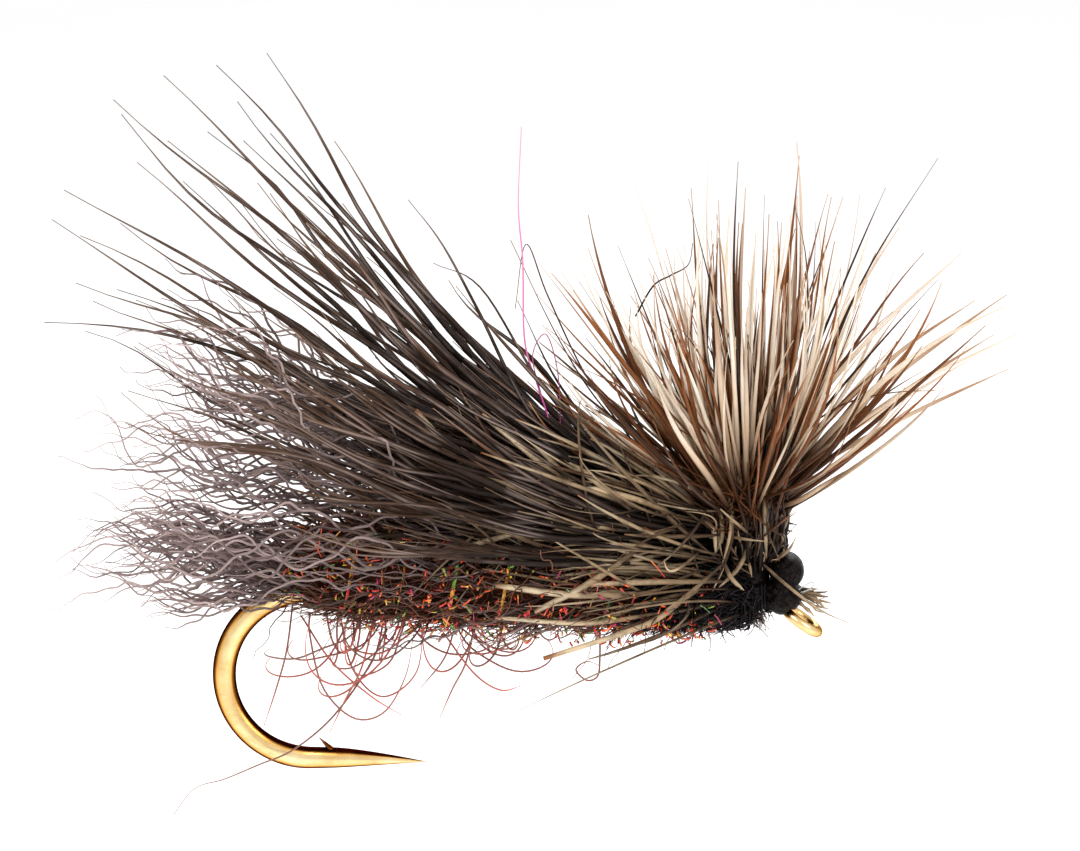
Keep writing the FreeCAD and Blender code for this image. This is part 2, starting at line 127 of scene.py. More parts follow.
def swept_way(rise, swing):
    """Directions that point back along -X, raised by one angle and swung to +Y by the other, in degrees."""
    rise, swing = np.radians(rise), np.radians(swing)
    return xyz(-np.cos(rise) * np.cos(swing), np.cos(rise) * np.sin(swing), np.sin(rise))


# ---- curves
def bezier(start, leave, arrive, end, points):
    """Cubic curves between arrays of places."""
    t = np.linspace(0, 1, points)[None, :, None]
    a, b, c, d = (p[:, None, :] for p in (start, leave, arrive, end))
    return (1 - t) ** 3 * a + 3 * (1 - t) ** 2 * t * b + 3 * (1 - t) * t * t * c + t ** 3 * d


def arched(start, end, way, hold, bow, points):
    """Curves that leave and arrive along one way, held to it over a length, and pushed aside by bow."""
    return bezier(start, start + way * hold + bow, end - way * hold + bow, end, points)


def through(places, points):
    """One smooth line through listed places."""
    places = np.array(places, float)
    padded = np.vstack([2 * places[0] - places[1], places, 2 * places[-1] - places[-2]])
    line = []
    for share in np.linspace(0, len(places) - 1, points):
        i = min(int(share), len(places) - 2)
        t = share - i
        p0, p1, p2, p3 = padded[i:i + 4]
        line.append(p1 + 0.5 * t * (p2 - p0 + t * (2 * p0 - 5 * p1 + 4 * p2 - p3
                                                   + t * (3 * (p1 - p2) + p3 - p0))))
    return np.array(line)[None]


def waved(paths, dice, height, wave_length, quiet=0.15):
    """Adds a soft crimp of its own to every strand. It fades in over the quiet share at the root."""
    rng = dice.rng
    count, points = paths.shape[:2]
    steps = np.linalg.norm(np.diff(paths, axis=1), axis=2)
    run = np.concatenate([np.zeros((count, 1)), np.cumsum(steps, axis=1)], axis=1)
    chord = unit(paths[:, -1] - paths[:, 0])
    first = unit(np.cross(chord, rng.normal(size=(count, 3))))
    second = np.cross(chord, first)
    fade = np.clip(np.linspace(0, 1, points) / quiet, 0, 1)[None, :, None]
    for across, share in ((first, 1.0), (second, 0.6)):
        length = wave_length * rng.uniform(0.7, 1.4, (count, 1))
        turn = 2 * math.pi * (run / length + rng.uniform(0, 1, (count, 1)))
        size = height * share * rng.uniform(0.5, 1.3, (count, 1))
        paths = paths + (np.sin(turn) * size)[:, :, None] * across[:, None, :] * fade
    return paths


def tapered(points, power=2.2, root=0.8):
    """Thickness along a hair, from 0 to 1: root at its foot, full from a quarter, and fine at the tip."""
    t = np.linspace(0, 1, points)
    return (root + (1 - root) * np.clip(t / 0.25, 0, 1)) * (1 - t ** power)


# ---- strands into meshes
def frames_along(paths, roll):
    """Two directions across each strand at each of its points, turning as little as they can."""
    ways = unit(np.gradient(paths, axis=1))
    start = ways[:, 0]
    helper = np.where(np.abs(start[:, 2:]) < 0.9, UP[None], BACK[None])
    side = unit(np.cross(start, helper))
    side = side * np.cos(roll)[:, None] + np.cross(start, side) * np.sin(roll)[:, None]
    sides = [side]
    for i in range(1, paths.shape[1]):
        side = unit(side - ways[:, i] * np.sum(side * ways[:, i], axis=1, keepdims=True))
        sides.append(side)
    sides = np.stack(sides, axis=1)
    return sides, np.cross(ways, sides)


class Bundle:
    """Strands of one piece, gathered group by group and then made into one mesh."""

    def __init__(self):
        self.groups = []

    def add(self, paths, radii, tint=0.5, sides=5, flat=1.0, roll=0.0, tip=0.01, rim=None):
        """Strands of the same number of points. radii broadcasts over strands and points."""
        count, points = paths.shape[:2]
        radii = np.broadcast_to(np.maximum(radii, tip), (count, points))
        flat = np.broadcast_to(flat, (count, points))
        tint, roll = (np.broadcast_to(np.asarray(v, float), (count,)) for v in (tint, roll))
        self.groups.append((paths, radii, tint, sides, flat, roll, rim))

    def grow(self, dice, paths, thick, taper=(), tint=(0, 1), roll=0.0, **look):
        """Tapered strands. Limits for thickness, tint or roll, given as a pair, are drawn for each strand."""
        radii = column(dice.between(thick)) * tapered(paths.shape[1], *taper)
        self.add(paths, radii, tint=dice.between(tint), roll=dice.between(roll), **look)

    def line(self, places, points, thick, taper=(), **look):
        """One tapered strand through listed places."""
        self.add(through(places, points), thick * tapered(points, *taper)[None], **look)

    def mesh(self, name):
        total = sum(len(group[0]) for group in self.groups)
        columns = math.ceil(math.sqrt(8 * total))
        rows = math.ceil(total / columns)
        places, loops, sizes, uvs, alongs, tints, edges = [], [], [], [], [], [], []
        vertex, strand = 0, 0
        for paths, radii, tint, sides, flat, roll, rim in self.groups:
            count, points = paths.shape[:2]
            side, up = frames_along(paths, roll)
            turn = 2 * math.pi * np.arange(sides) / sides
            ring = (side[:, :, None] * np.cos(turn)[:, None]
                    + up[:, :, None] * np.sin(turn)[:, None] * flat[:, :, None, None])
            places.append((paths[:, :, None] + ring * radii[:, :, None, None]).reshape(-1, 3))
            index = vertex + np.arange(count * points * sides).reshape(count, points, sides)
            beside = np.roll(index, -1, axis=2)
            quads = np.stack([index[:, :-1], beside[:, :-1], beside[:, 1:], index[:, 1:]], -1)
            loops += [quads.ravel(), index[:, 0, ::-1].ravel(), index[:, -1].ravel()]
            sizes += [np.full(quads.size // 4, 4), np.full(2 * count, sides)]
            s, i, k = np.meshgrid(np.arange(count), np.arange(points - 1), np.arange(sides), indexing="ij")
            u = np.stack([k, k + 1, k + 1, k], -1) / sides
            v = np.stack([i, i, i + 1, i + 1], -1) / (points - 1)
            uvs.append(self.cell(strand + s[..., None], u, v, columns, rows))
            for end in (0, 1):
                own = strand + np.repeat(np.arange(count), sides)
                uvs.append(self.cell(own, np.full(own.shape, 0.5), np.full(own.shape, end), columns, rows))
            rim = np.abs(np.cos(turn)) if rim is None else np.full(sides, rim)
            along = np.linspace(0, 1, points)[None, :, None]
            for values, value in ((alongs, along), (tints, tint[:, None, None]), (edges, rim[None, None])):
                values.append(np.broadcast_to(value, (count, points, sides)).ravel())
            vertex += count * points * sides
            strand += count
        made = raw_mesh(name, np.concatenate(places), np.concatenate(loops), np.concatenate(sizes))
        layer = made.uv_layers.new(name="OFBake")
        layer.data.foreach_set("uv", np.concatenate(uvs).astype(np.float32).ravel())
        for title, values in (("along", alongs), ("tint", tints), ("edge", edges)):
            attribute = made.attributes.new(title, "FLOAT", "POINT")
            attribute.data.foreach_set("value", np.concatenate(values).astype(np.float32))
        return made

    @staticmethod
    def cell(own, u, v, columns, rows):
        """Each strand has a cell of its own in the texture, with its root at the bottom."""
        x = (own % columns + 0.1 + 0.8 * u) / columns
        y = (own // columns + 0.05 + 0.9 * v) / rows
        return np.stack([np.broadcast_to(x, u.shape), np.broadcast_to(y, u.shape)], -1).reshape(-1, 2)

    def show(self, name, material, slot, *nodes):
        return piece(name, self.mesh(name), material, slot, *nodes)


def raw_mesh(name, places, loops, sizes):
    """A smooth-shaded mesh from places in millimetres, corner indices and face sizes."""
    mesh = bpy.data.meshes.new(name)
    mesh.vertices.add(len(places))
    mesh.vertices.foreach_set("co", (places * MM).astype(np.float32).ravel())
    mesh.loops.add(len(loops))
    mesh.loops.foreach_set("vertex_index", loops.astype(np.int32))
    mesh.polygons.add(len(sizes))
    mesh.polygons.foreach_set("loop_start", (np.cumsum(sizes) - sizes).astype(np.int32))
    mesh.polygons.foreach_set("use_smooth", np.ones(len(sizes), bool))
    mesh.update(calc_edges=True)
    mesh.validate()
    return mesh


def piece(name, mesh, material, slot, *nodes):
    """Puts a mesh in the scene as a piece of the fly, in place of CAD nodes."""
    made = bpy.data.objects.new(name, mesh)
    bpy.context.scene.collection.objects.link(made)
    mesh.materials.append(material)
    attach(made, "root")
    if nodes:
        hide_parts(*nodes)
    return made


def remeshed(name, node, voxel, displace):
    """A fine even mesh over a CAD node's shape, with every point moved out by displace(place)."""
    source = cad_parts[node].data.copy()
    source.transform(Matrix.Scale(1 / MM, 4))
    helper = bpy.data.objects.new(name + "_helper", source)
    bpy.context.scene.collection.objects.link(helper)
    change = helper.modifiers.new("Even", "REMESH")
    change.mode, change.voxel_size, change.use_smooth_shade = "VOXEL", voxel, True
    soften = helper.modifiers.new("Soft", "SMOOTH")
    soften.factor, soften.iterations = 0.5, 4
    shape = helper.evaluated_get(bpy.context.evaluated_depsgraph_get())
    mesh = bpy.data.meshes.new_from_object(shape)
    bpy.data.objects.remove(helper)
    mesh.name = name
    mesh.materials.clear()
    moves = [vertex.normal * displace(vertex.co) for vertex in mesh.vertices]
    for vertex, move in zip(mesh.vertices, moves):
        vertex.co = (vertex.co + move) * MM
    mesh.update()
    return mesh


def skin_points(node, dice, clear_of_shank=0.5):
    """Random places on the outside of a CAD node and their outward directions, in millimetres.

    Faces nearer to the shank's axis than clear_of_shank are inside the body and left out.
    """
    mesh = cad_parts[node].data
    mesh.calc_loop_triangles()
    places = np.zeros(len(mesh.vertices) * 3)
    mesh.vertices.foreach_get("co", places)
    tris = np.zeros(len(mesh.loop_triangles) * 3, int)
    mesh.loop_triangles.foreach_get("vertices", tris)
    a, b, c = ((places.reshape(-1, 3) / MM)[tris.reshape(-1, 3)[:, k]] for k in range(3))
    out = np.cross(b - a, c - a)
    area = np.linalg.norm(out, axis=1)
    middle = (a + b + c) / 3
    area[np.hypot(middle[:, 1], middle[:, 2] - SHANK_Z) < clear_of_shank] = 0
    chosen = dice.rng.choice(len(area), dice.count, p=area / area.sum())
    u, v = dice.rng.uniform(0, 1, (2, dice.count))
    over = u + v > 1
    u[over], v[over] = 1 - u[over], 1 - v[over]
    a, b, c = a[chosen], b[chosen], c[chosen]
    return a + column(u) * (b - a) + column(v) * (c - a), unit(out[chosen])


# ---- materials
def tone(red, green, blue):
    """A colour from its three display values of 0 to 255."""
    return tuple(((v / 255 + 0.055) / 1.055) ** 2.4 if v > 10 else v / 3294.6 for v in (red, green, blue))


class Shader:
    """One principled material and short calls for the nodes that feed it.

    shine is the share of red, green and blue in what it reflects.
    """

    def __init__(self, name, roughness, specular, metallic=0.0, coat=0.0, shine=(1, 1, 1)):
        self.material = bpy.data.materials.new(name)
        self.material.use_nodes = True
        self.tree = self.material.node_tree
        self.base = self.tree.nodes["Principled BSDF"].inputs
        values = {"Roughness": roughness, "Specular IOR Level": specular, "Specular Tint": (*shine, 1),
                  "Metallic": metallic, "Coat Weight": coat, "Coat Roughness": 0.2}
        for socket, value in values.items():
            self.base[socket].default_value = value

    def feed(self, socket, value):
        """Gives a socket a link or a value. Three display values make a colour."""
        if isinstance(value, bpy.types.NodeSocket):
            self.tree.links.new(value, socket)
        elif socket.type == "RGBA":
            socket.default_value = (*tone(*value), 1)
        else:
            socket.default_value = value

    def node(self, kind, output, inputs, **settings):
        """An output of a new node, with its settings made and its inputs fed."""
        made = self.tree.nodes.new("ShaderNode" + kind)
        for key, value in settings.items():
            setattr(made, key, value)
        for key, value in inputs.items():
            self.feed(made.inputs[key], value)
        return made.outputs[output]

    def attribute(self, name):
        return self.node("Attribute", "Fac", {}, attribute_name=name)

    def noise(self, scale, detail=3.0, stretch=(1, 1, 1), distortion=0.0):
        """Noise with that many waves to a millimetre."""
        place = self.node("TexCoord", "Object", {})
        scaled = self.node("Mapping", "Vector", {"Vector": place, "Scale": [s / MM for s in stretch]})
        return self.node("TexNoise", "Fac", {"Vector": scaled, "Scale": scale, "Detail": detail,
                                             "Distortion": distortion})

    def ramp(self, factor, stops, interpolation="LINEAR"):
        """A run of colours. Each stop is its place from 0 to 1 and three display values."""
        colour = self.node("ValToRGB", "Color", {"Fac": factor})
        ramp = colour.node.color_ramp
        ramp.interpolation = interpolation
        while len(ramp.elements) > 1:
            ramp.elements.remove(ramp.elements[-1])
        for i, (place, *values) in enumerate(stops):
            element = ramp.elements[0] if i == 0 else ramp.elements.new(place)
            element.position, element.color = place, (*tone(*values), 1)
        return colour

    def mix(self, factor, first, second, blend="MIX"):
        return self.node("Mix", 2, {0: factor, 6: first, 7: second}, data_type="RGBA", blend_type=blend)

    def spread(self, value, low, high, to_low=0.0, to_high=1.0):
        """The value's range from low to high, carried to another range and held there."""
        return self.node("MapRange", "Result", {"Value": value, "From Min": low, "From Max": high,
                                                "To Min": to_low, "To Max": to_high})

    def maths(self, operation, first, second):
        return self.node("Math", 0, {0: first, 1: second}, operation=operation)

    def colour(self, value):
        self.feed(self.base["Base Color"], value)

    def rough(self, value, low, high):
        self.feed(self.base["Roughness"], self.spread(value, 0.3, 0.7, low, high))

    def bump(self, height, depth, strength=0.6):
        """Relief of that depth in millimetres."""
        self.feed(self.base["Normal"], self.node("Bump", "Normal", {"Height": height, "Strength": strength,
                                                                    "Distance": depth * MM}))


def strand_material(name, dark, light, roughness=0.45, specular=0.4, mottle=0.35, edge=None,
                    shine=(1.0, 0.8, 0.68)):
    """Hair and feather: two colour runs from root to tip, mixed by the strand's own tint.

    edge is the strength and colour of the streaks that lie in patches along a strand's two edges. On the hairs
    the streak is lighter than the hair, a painted highlight; on the feathers it darkens or tans the barbs.
    """
    shader = Shader(name, roughness, specular, shine=shine)
    along = shader.attribute("along")
    colour = shader.mix(shader.attribute("tint"), shader.ramp(along, dark), shader.ramp(along, light))
    speckle = shader.spread(shader.noise(3.0, 4.0), 0.45, 0.7, 0.0, mottle)
    colour = shader.mix(speckle, colour, (40, 26, 20), "MULTIPLY")
    if edge:
        strength, highlight_and_barb_colour = edge
        # Streaks: a painted highlight where the colour is lighter, as on the hairs; on the feathers darker or
        # tan streaks on the barbs.
        streak = shader.spread(shader.attribute("edge"), 0.65, 1.0, 0.0, strength)
        patches = shader.spread(shader.noise(0.7, 3.0), 0.45, 0.62)
        streak = shader.maths("MULTIPLY", streak, patches)
        past_root = shader.spread(along, 0.25, 0.6)
        colour = shader.mix(shader.maths("MULTIPLY", streak, past_root), colour, highlight_and_barb_colour)
    shader.colour(colour)
    shader.bump(shader.noise(14.0, 2.0), 0.01)
    return shader.material


def wire_material():
    """Bronzed hook wire under clear lacquer, with painted reflections: dark bands where the wire faces within
    the hook's plane and a cream highlight where it faces out to either side.
    """
    shader = Shader("gold_bronze_wire", 0.2, 0.5, metallic=1.0, shine=(0.3, 0.16, 0.07))
    cloud = shader.noise(1.3, 4.0)
    colour = shader.ramp(cloud, [(0.3, 218, 182, 122), (0.5, 236, 208, 156), (0.7, 246, 229, 190)])
    scratch = shader.noise(9.0, 3.0, stretch=(0.25, 1, 1))
    colour = shader.mix(shader.spread(scratch, 0.6, 0.75, 0.0, 0.35), colour, (150, 104, 56))
    # Painted reflections: dark where the wire faces within the hook's plane, a cream highlight where it faces
    # out to either side.
    across = shader.ramp(shader.attribute("edge"), [(0.45, 50, 30, 15), (0.66, 140, 92, 44),
                                                    (0.8, 255, 220, 160), (0.95, 255, 252, 244)])
    shader.colour(shader.mix(1.0, colour, across, "MULTIPLY"))
    shader.rough(scratch, 0.14, 0.3)
    shader.bump(scratch, 0.004, 0.3)
    return shader.material


def grained_material(name, stops, roughness, specular, gloss, depth, scale, detail, distortion=0.0):
    """Thread and foam: one grain sets the colour, the gloss and the relief."""
    shader = Shader(name, roughness, specular)
    grain = shader.noise(scale, detail, distortion=distortion)
    shader.colour(shader.ramp(grain, stops))
    shader.rough(grain, *gloss)
    shader.bump(grain, depth)
    return shader.material


def core_material(name, deep, mid, light):
    """Packed dubbing seen between the fibres that stand out of it."""
    shader = Shader(name, 0.9, 0.05)
    lumps_noise = shader.noise(2.2, 5.0, distortion=1.0)
    strands = shader.noise(9.0, 4.0, stretch=(0.4, 1, 1), distortion=2.0)
    colour = shader.ramp(lumps_noise, [(0.3, *deep), (0.5, *mid), (0.7, *light)])
    shader.colour(shader.mix(shader.spread(strands, 0.45, 0.7, 0.0, 0.6), colour, deep))
    shader.bump(strands, 0.08, 0.9)
    return shader.material


def film_material(name, stops):
    """Metallised film cut into fine strands. A short bit flashes one colour, and a long one several."""
    shader = Shader(name, 0.2, 0.6, coat=0.4)
    wander = shader.maths("ADD", shader.attribute("tint"), shader.noise(0.9, 1.0))
    wander = shader.node("Math", 0, {0: wander}, operation="FRACT")
    colour = shader.ramp(wander, stops, interpolation="CONSTANT")
    glint_noise = shader.noise(6.0, 2.0)
    # Painted glints: noise patches screened toward pale gold.
    shader.colour(shader.mix(shader.spread(glint_noise, 0.5, 0.7, 0.0, 0.4), colour, (255, 214, 120), "SCREEN"))
    shader.bump(glint_noise, 0.01)
    return shader.material


# ---- hook
def hook_wire(material):
    """One wire bent into a ring eye, straight shank, forged round bend and ground point."""
    spear_length, point_length, point_drop = 2.72, 2.15, 0.1
    eye_wire, eye_ring, knee_reach = 0.115, 0.46, 0.3
    deepened, narrowed = 0.3, 0.13          # what forging does to the middle of the bend
    gap_angle, ring_points = 7, 72          # the ring keeps this many degrees clear on each side of the leg
    barb_x, barb_base_x = 0.42, 0.14
    leg_start = EYE_LEG * eye_ring
    corner = leg_start + EYE_LEG * ((SHANK_Z - leg_start[2]) / EYE_LEG[2])
    leave, arrive = corner - EYE_LEG * knee_reach, corner + BACK * knee_reach
    knee = [(1 - t) ** 2 * leave + 2 * t * (1 - t) * corner + t * t * arrive for t in np.linspace(0, 1, 9)]
    bend_top = np.array([BEND_X, 0, SHANK_Z])
    centre = bend_top - UP * BEND_R
    shank = [arrive + (bend_top - arrive) * t for t in np.linspace(0, 1, 60)[1:]]
    turn = np.linspace(0, math.pi, 90)[1:]
    bend = [centre + BEND_R * np.array([-math.sin(a), 0, math.cos(a)]) for a in turn]
    foot = bend[-1] - BACK * (spear_length - point_length)
    grind = np.linspace(0, 1, 30)[1:]
    point = [foot - BACK * point_length * t - UP * point_drop * t ** 1.5 for t in grind]
    route = np.array([leg_start, *knee, *shank, *bend, foot, *point])[None]
    width = np.concatenate([np.linspace(eye_wire, WIRE_R * 0.96, 1 + len(knee)),
                            np.full(len(shank) + len(bend) + 1, WIRE_R), WIRE_R * (1 - grind ** 1.25)])
    bend_start = 1 + len(knee) + len(shank)
    forged_part = slice(bend_start, bend_start + len(bend))
    forging = np.clip(np.sin(turn * 0.92 + 0.04) * 2.2, 0, 1)
    deeper = np.ones(len(width))
    deeper[forged_part] = 1 + deepened * forging
    width[forged_part] *= 1 - narrowed * forging
    wire = Bundle()
    wire.add(route, width[None], sides=28, flat=deeper[None], tip=0.008)

    around = np.radians(np.linspace(gap_angle, 360 - gap_angle, ring_points))
    ring = [eye_ring * (math.cos(a) * EYE_LEG + math.sin(a) * np.array([0, 1.0, 0])) for a in around]
    closing = 1 - 0.25 * np.exp(-np.linspace(0, 1, ring_points) * 12)
    # The eye ring is set wholly in the cream band of the painted highlight.
    wire.add(np.array(ring)[None], (eye_wire * closing)[None], sides=20, rim=0.92)

    barb_root = np.array([BEND_X + barb_x + barb_base_x, 0, centre[2] - BEND_R + WIRE_R * 0.35])
    barb = barb_root + np.array([[0, 0, 0], [-0.12, 0, 0.14], [-0.24, 0, 0.27], [-0.37, 0, 0.4]])
    # The barb is set in the darker band of the painted reflections, a painted shade.
    wire.add(barb[None], np.array([[0.13, 0.1, 0.055, 0.012]]), sides=12, flat=0.7, rim=0.6)
    wire.show("hook_wire", material, "hook_wire", "hook")


# ---- thread
def winding(name, node, material, start, way, length, radius, pitch=0.085):
    """A piece of close turns of thread over a dark core. radius(share) is the core's radius on its way."""
    thread_r, points_a_turn, core_points = 0.042, 22, 14
    bundle = Bundle()
    way = unit(way)
    side = unit(np.cross(way, [0, 1.0, 0]))
    up = np.cross(way, side)
    t = np.linspace(0, 1, core_points)
    core = np.array([start + way * length * s for s in t])
    bundle.add(core[None], np.array([radius(s) for s in t])[None], tint=0.2, sides=24)
    turns = round(length / pitch)
    t = np.linspace(0, 1, turns * points_a_turn + 1)
    wander = 0.012 * np.sin(t * turns * 2.39) + 0.01 * np.sin(t * turns * 5.1)
    angle = 2 * math.pi * turns * t
    lift = np.array([radius(s) for s in t]) + thread_r * 0.35 + wander
    helix = (start + np.outer(t * length, way) + np.outer(lift * np.cos(angle), side)
             + np.outer(lift * np.sin(angle), up))
    bundle.add(helix[None], thread_r, tint=0.7, sides=7)
    bundle.show(name, material, "black_thread", node)


def threads(material):
    """Every winding of the tying thread, and the pale loop at the very front."""
    def barrel(radius, waist):
        return lambda t: radius - waist * (2 * t - 1) ** 2

    collar = corners("wing_binding")[1][2] - SHANK_Z - 0.05
    for name, node, radius, pitch, past_end in (
            ("underbody_thread", "thread_underbody", lambda t: WIRE_R + 0.02, 0.13, 0.0),
            ("binding_thread", "wing_binding", lambda t: collar * (1 - 0.35 * t ** 3), 0.085, 0.0),
            ("head_thread", "thread_head", barrel(0.42, 0.1), 0.07, 0.12)):
        low, high = corners(node)
        start = np.array([low[0], 0, SHANK_Z])
        winding(name, node, material, start, -BACK, high[0] - low[0] + past_end, radius, pitch)
    winding("whip_thread", "whip_finish", material, np.array([-0.6, 0, 0.42]), EYE_LEG, 0.32,
            barrel(0.27, 0.04), 0.07)
    low, high = corners("post_wraps")
    winding("post_thread", "post_wraps", material, np.array([POST_X, 0, low[2]]), UP, high[2] - low[2],
            lambda t: 0.5 + 0.03 * math.sin(9 * t))

    tag = Bundle()
    route = ((-0.12, -0.32, 0.8), (0.06, -0.34, 0.93), (0.2, -0.36, 1.0), (0.26, -0.38, 0.95),
             (0.2, -0.38, 0.88), (0.08, -0.36, 0.8), (-0.06, -0.3, 0.74))
    tag.add(through(route, 30), 0.014, tint=0.9, sides=6)
    pale = strand_material("pale_tag", [(0, 120, 122, 126)], [(0, 190, 192, 196)], 0.25, 0.6, 0.1)
    tag.show("tag_thread", pale, "black_thread", "thread_tag")


# ---- dubbed body
def lumps(depth, size):
    """Uneven relief for packed fur, as a move along the normal in millimetres."""
    def move(place):
        coarse = noise.noise(place * size)
        fine = noise.noise(place * size * 3.3 + Vector((7, 3, 5)))
        return depth * (coarse + 0.6 * fine) - 0.03
    return move


def fur(bundle, dice, node, count, length, lift, thick, tint, droop=0.0, points=9):
    """Short fibres that leave a body's skin and sweep back along it, lying closer under its belly."""
    dice.count = count
    start, out = skin_points(node, dice)
    reach = dice.flat(*length)
    rise = dice.flat(*lift) * (1 - 0.72 * np.clip(-out[:, 2], 0, 1))
    way = BACK + dice.cloud(0.75) - UP * droop
    way[:, 2] *= np.where(out[:, 2] < -0.3, 0.25, 1.0)
    way = unit(way)
    leave = start + out * column(rise * 0.9)
    arrive = start + out * column(rise) + way * column(reach * 0.6)
    end = start + out * column(rise * dice.flat(0.2, 1.5)) + way * column(reach)
    paths = waved(bezier(start - out * 0.08, leave, arrive, end, points), dice, 0.06, 0.9)
    bundle.grow(dice, paths, thick, (3.0, 1.0), tint, sides=3)


def packed_core(part, slot, voxel, depth, size, *colours):
    """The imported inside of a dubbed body, with a material of its own."""
    mesh = remeshed(part + "_core", part + "_dubbing", voxel, lumps(depth, size))
    piece(part + "_core", mesh, core_material("packed_" + part, *colours), slot)


def dubbed_bodies(dark_fur, thorax_fur):
    """The dubbed abdomen and thorax: packed cores with fibres standing out of them."""
    dice = Dice(21)
    packed_core("abdomen", "dubbing_dark", 0.07, 0.16, 1.7, (18, 8, 5), (52, 26, 16), (88, 48, 32))
    abdomen = Bundle()
    fur(abdomen, dice, "abdomen_dubbing", count=1500, length=(0.5, 1.5), lift=(0.05, 0.3),
        thick=(0.016, 0.026), tint=(0.0, 0.7))
    fur(abdomen, dice, "abdomen_dubbing", count=240, length=(1.0, 2.4), lift=(0.1, 0.36),
        thick=(0.016, 0.028), tint=(0.3, 1.0), points=16)
    abdomen.show("abdomen_fur", dark_fur, "dubbing_dark", "abdomen_dubbing")

    packed_core("thorax", "thorax_fur", 0.05, 0.12, 2.1, (4, 3, 4), (14, 11, 12), (34, 29, 31))
    thorax = Bundle()
    fur(thorax, dice, "thorax_dubbing", count=1100, length=(0.25, 0.8), lift=(0.08, 0.32),
        thick=(0.014, 0.024), tint=(0.0, 0.8), droop=0.3)
    fur(thorax, dice, "wing_binding", count=800, length=(0.2, 0.6), lift=(0.05, 0.32),
        thick=(0.014, 0.024), tint=(0.0, 0.7))
    thorax.show("thorax_fuzz", thorax_fur, "thorax_fur", "thorax_dubbing")


def throat_fluff(material):
    """The loose grey tuft under the head, and fluff on the front of the post."""
    dice = Dice(22)
    tuft = Bundle()
    for place, way, reach, count in (((-1.1, 0, 0.26), (0.35, 0, -1), 0.42, 90),
                                     ((-0.78, -0.1, 1.75), (0.6, 0, 0.3), 0.38, 60),
                                     ((-0.8, 0.1, 1.35), (0.7, 0, 0.1), 0.3, 40)):
        dice.count = count
        start = np.array(place) + dice.cloud(0.1)
        way = unit(np.array(way) + dice.cloud(0.45))
        end = start + way * column(reach * dice.flat(0.5, 1.1))
        paths = waved(bezier(start, start + way * 0.1, end - BACK * 0.06, end, 9), dice, 0.05, 0.4)
        tuft.grow(dice, paths, 0.014, tint=(0.0, 0.4), sides=3)
    tuft.show("throat_fluff", material, "thorax_fur", "belly_fluff")


# Bits of film set on both flanks: x, z, slant in degrees, and tint. Those with a tint over LONG_FROM are
# longer, and the one with PROUD_TINT stands further out.
FLANK_FILM = (
    (-11.2, 2.05, 120, 0.97), (-11.1, 2.25, 80, 0.97), (-10.7, 2.35, 50, 0.3), (-10.3, 2.2, 35, 0.4),
    (-9.9, 2.3, 60, 0.35), (-11.6, 1.35, 140, 0.1), (-10.9, 1.6, 20, 0.45), (-9.3, 2.15, 10, 0.42),
    (-8.2, 0.3, 70, 0.3), (-7.6, 0.42, 95, 0.35), (-7.0, 0.5, 80, 0.1), (-6.6, 0.35, 60, 0.66),
    (-5.3, 1.1, 45, 0.15), (-4.9, 0.75, 70, 0.3), (-3.4, 1.6, -50, 0.76), (-2.3, 0.6, -40, 0.32),
    (-2.0, 0.35, -55, 0.4))
LONG_FROM, PROUD_TINT = 0.7, 0.76


def sparkle(material):
    """The cut bits of film that glint between the fibres, and the flash rib."""
    dice = Dice(23)
    film = Bundle()
    for node, count, stand in (("abdomen_dubbing", 1500, 0.5), ("thorax_dubbing", 420, 0.34)):
        dice.count = count
        start, out = skin_points(node, dice)
        way = unit(dice.cloud(1) * [1.0, 0.5, 1.0] + out * 0.15)
        reach = dice.flat(0.05, 0.27)
        bow = out * column(dice.flat(0.02, 0.12))
        foot = start + out * column(dice.flat(0.02, stand)) - way * column(reach / 2)
        end = foot + way * column(reach)
        film.add(bezier(foot, foot + bow, end + bow, end, 5), 0.025, tint=dice.flat(0, 1), sides=4, flat=0.25,
                 roll=dice.flat(0, math.pi))
    for side in SIDES:
        for x, z, slant, tint in FLANK_FILM:
            slant = math.radians(slant)
            way = np.array([math.cos(slant), 0, math.sin(slant)]) * (0.14 + 0.12 * (tint > LONG_FROM))
            middle = np.array([x, side * (1.28 + 0.2 * (tint == PROUD_TINT)), z])
            film.add(through([middle - way, middle + UP * 0.02, middle + way], 7), 0.034, tint=tint, sides=4,
                     flat=0.4)
    film.show("sparkle_film", material, "flash_film", "sparkle_fibres")

    places = np.array([vertex.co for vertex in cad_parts["rib_strand"].data.vertices]) / MM
    turns, steps = 6, 6 * 26
    start, end = places[:, 0].min(), places[:, 0].max()
    route = []
    for i in range(steps + 1):
        x = start + (end - start) * i / steps
        near = places[np.abs(places[:, 0] - x) < 0.75]
        half_width = max(np.abs(near[:, 1]).max() - 0.03, 0.4)
        low, high = near[:, 2].min(), near[:, 2].max()
        angle = 2 * math.pi * turns * i / steps
        route.append((x, half_width * math.sin(angle), (high + low) / 2 + (high - low) / 2 * math.cos(angle)))
    rib = Bundle()
    rib.add(np.array(route)[None], 0.05, tint=0.15, sides=6, flat=0.25)
    rib.show("rib_film", material, "flash_film", "rib_strand")


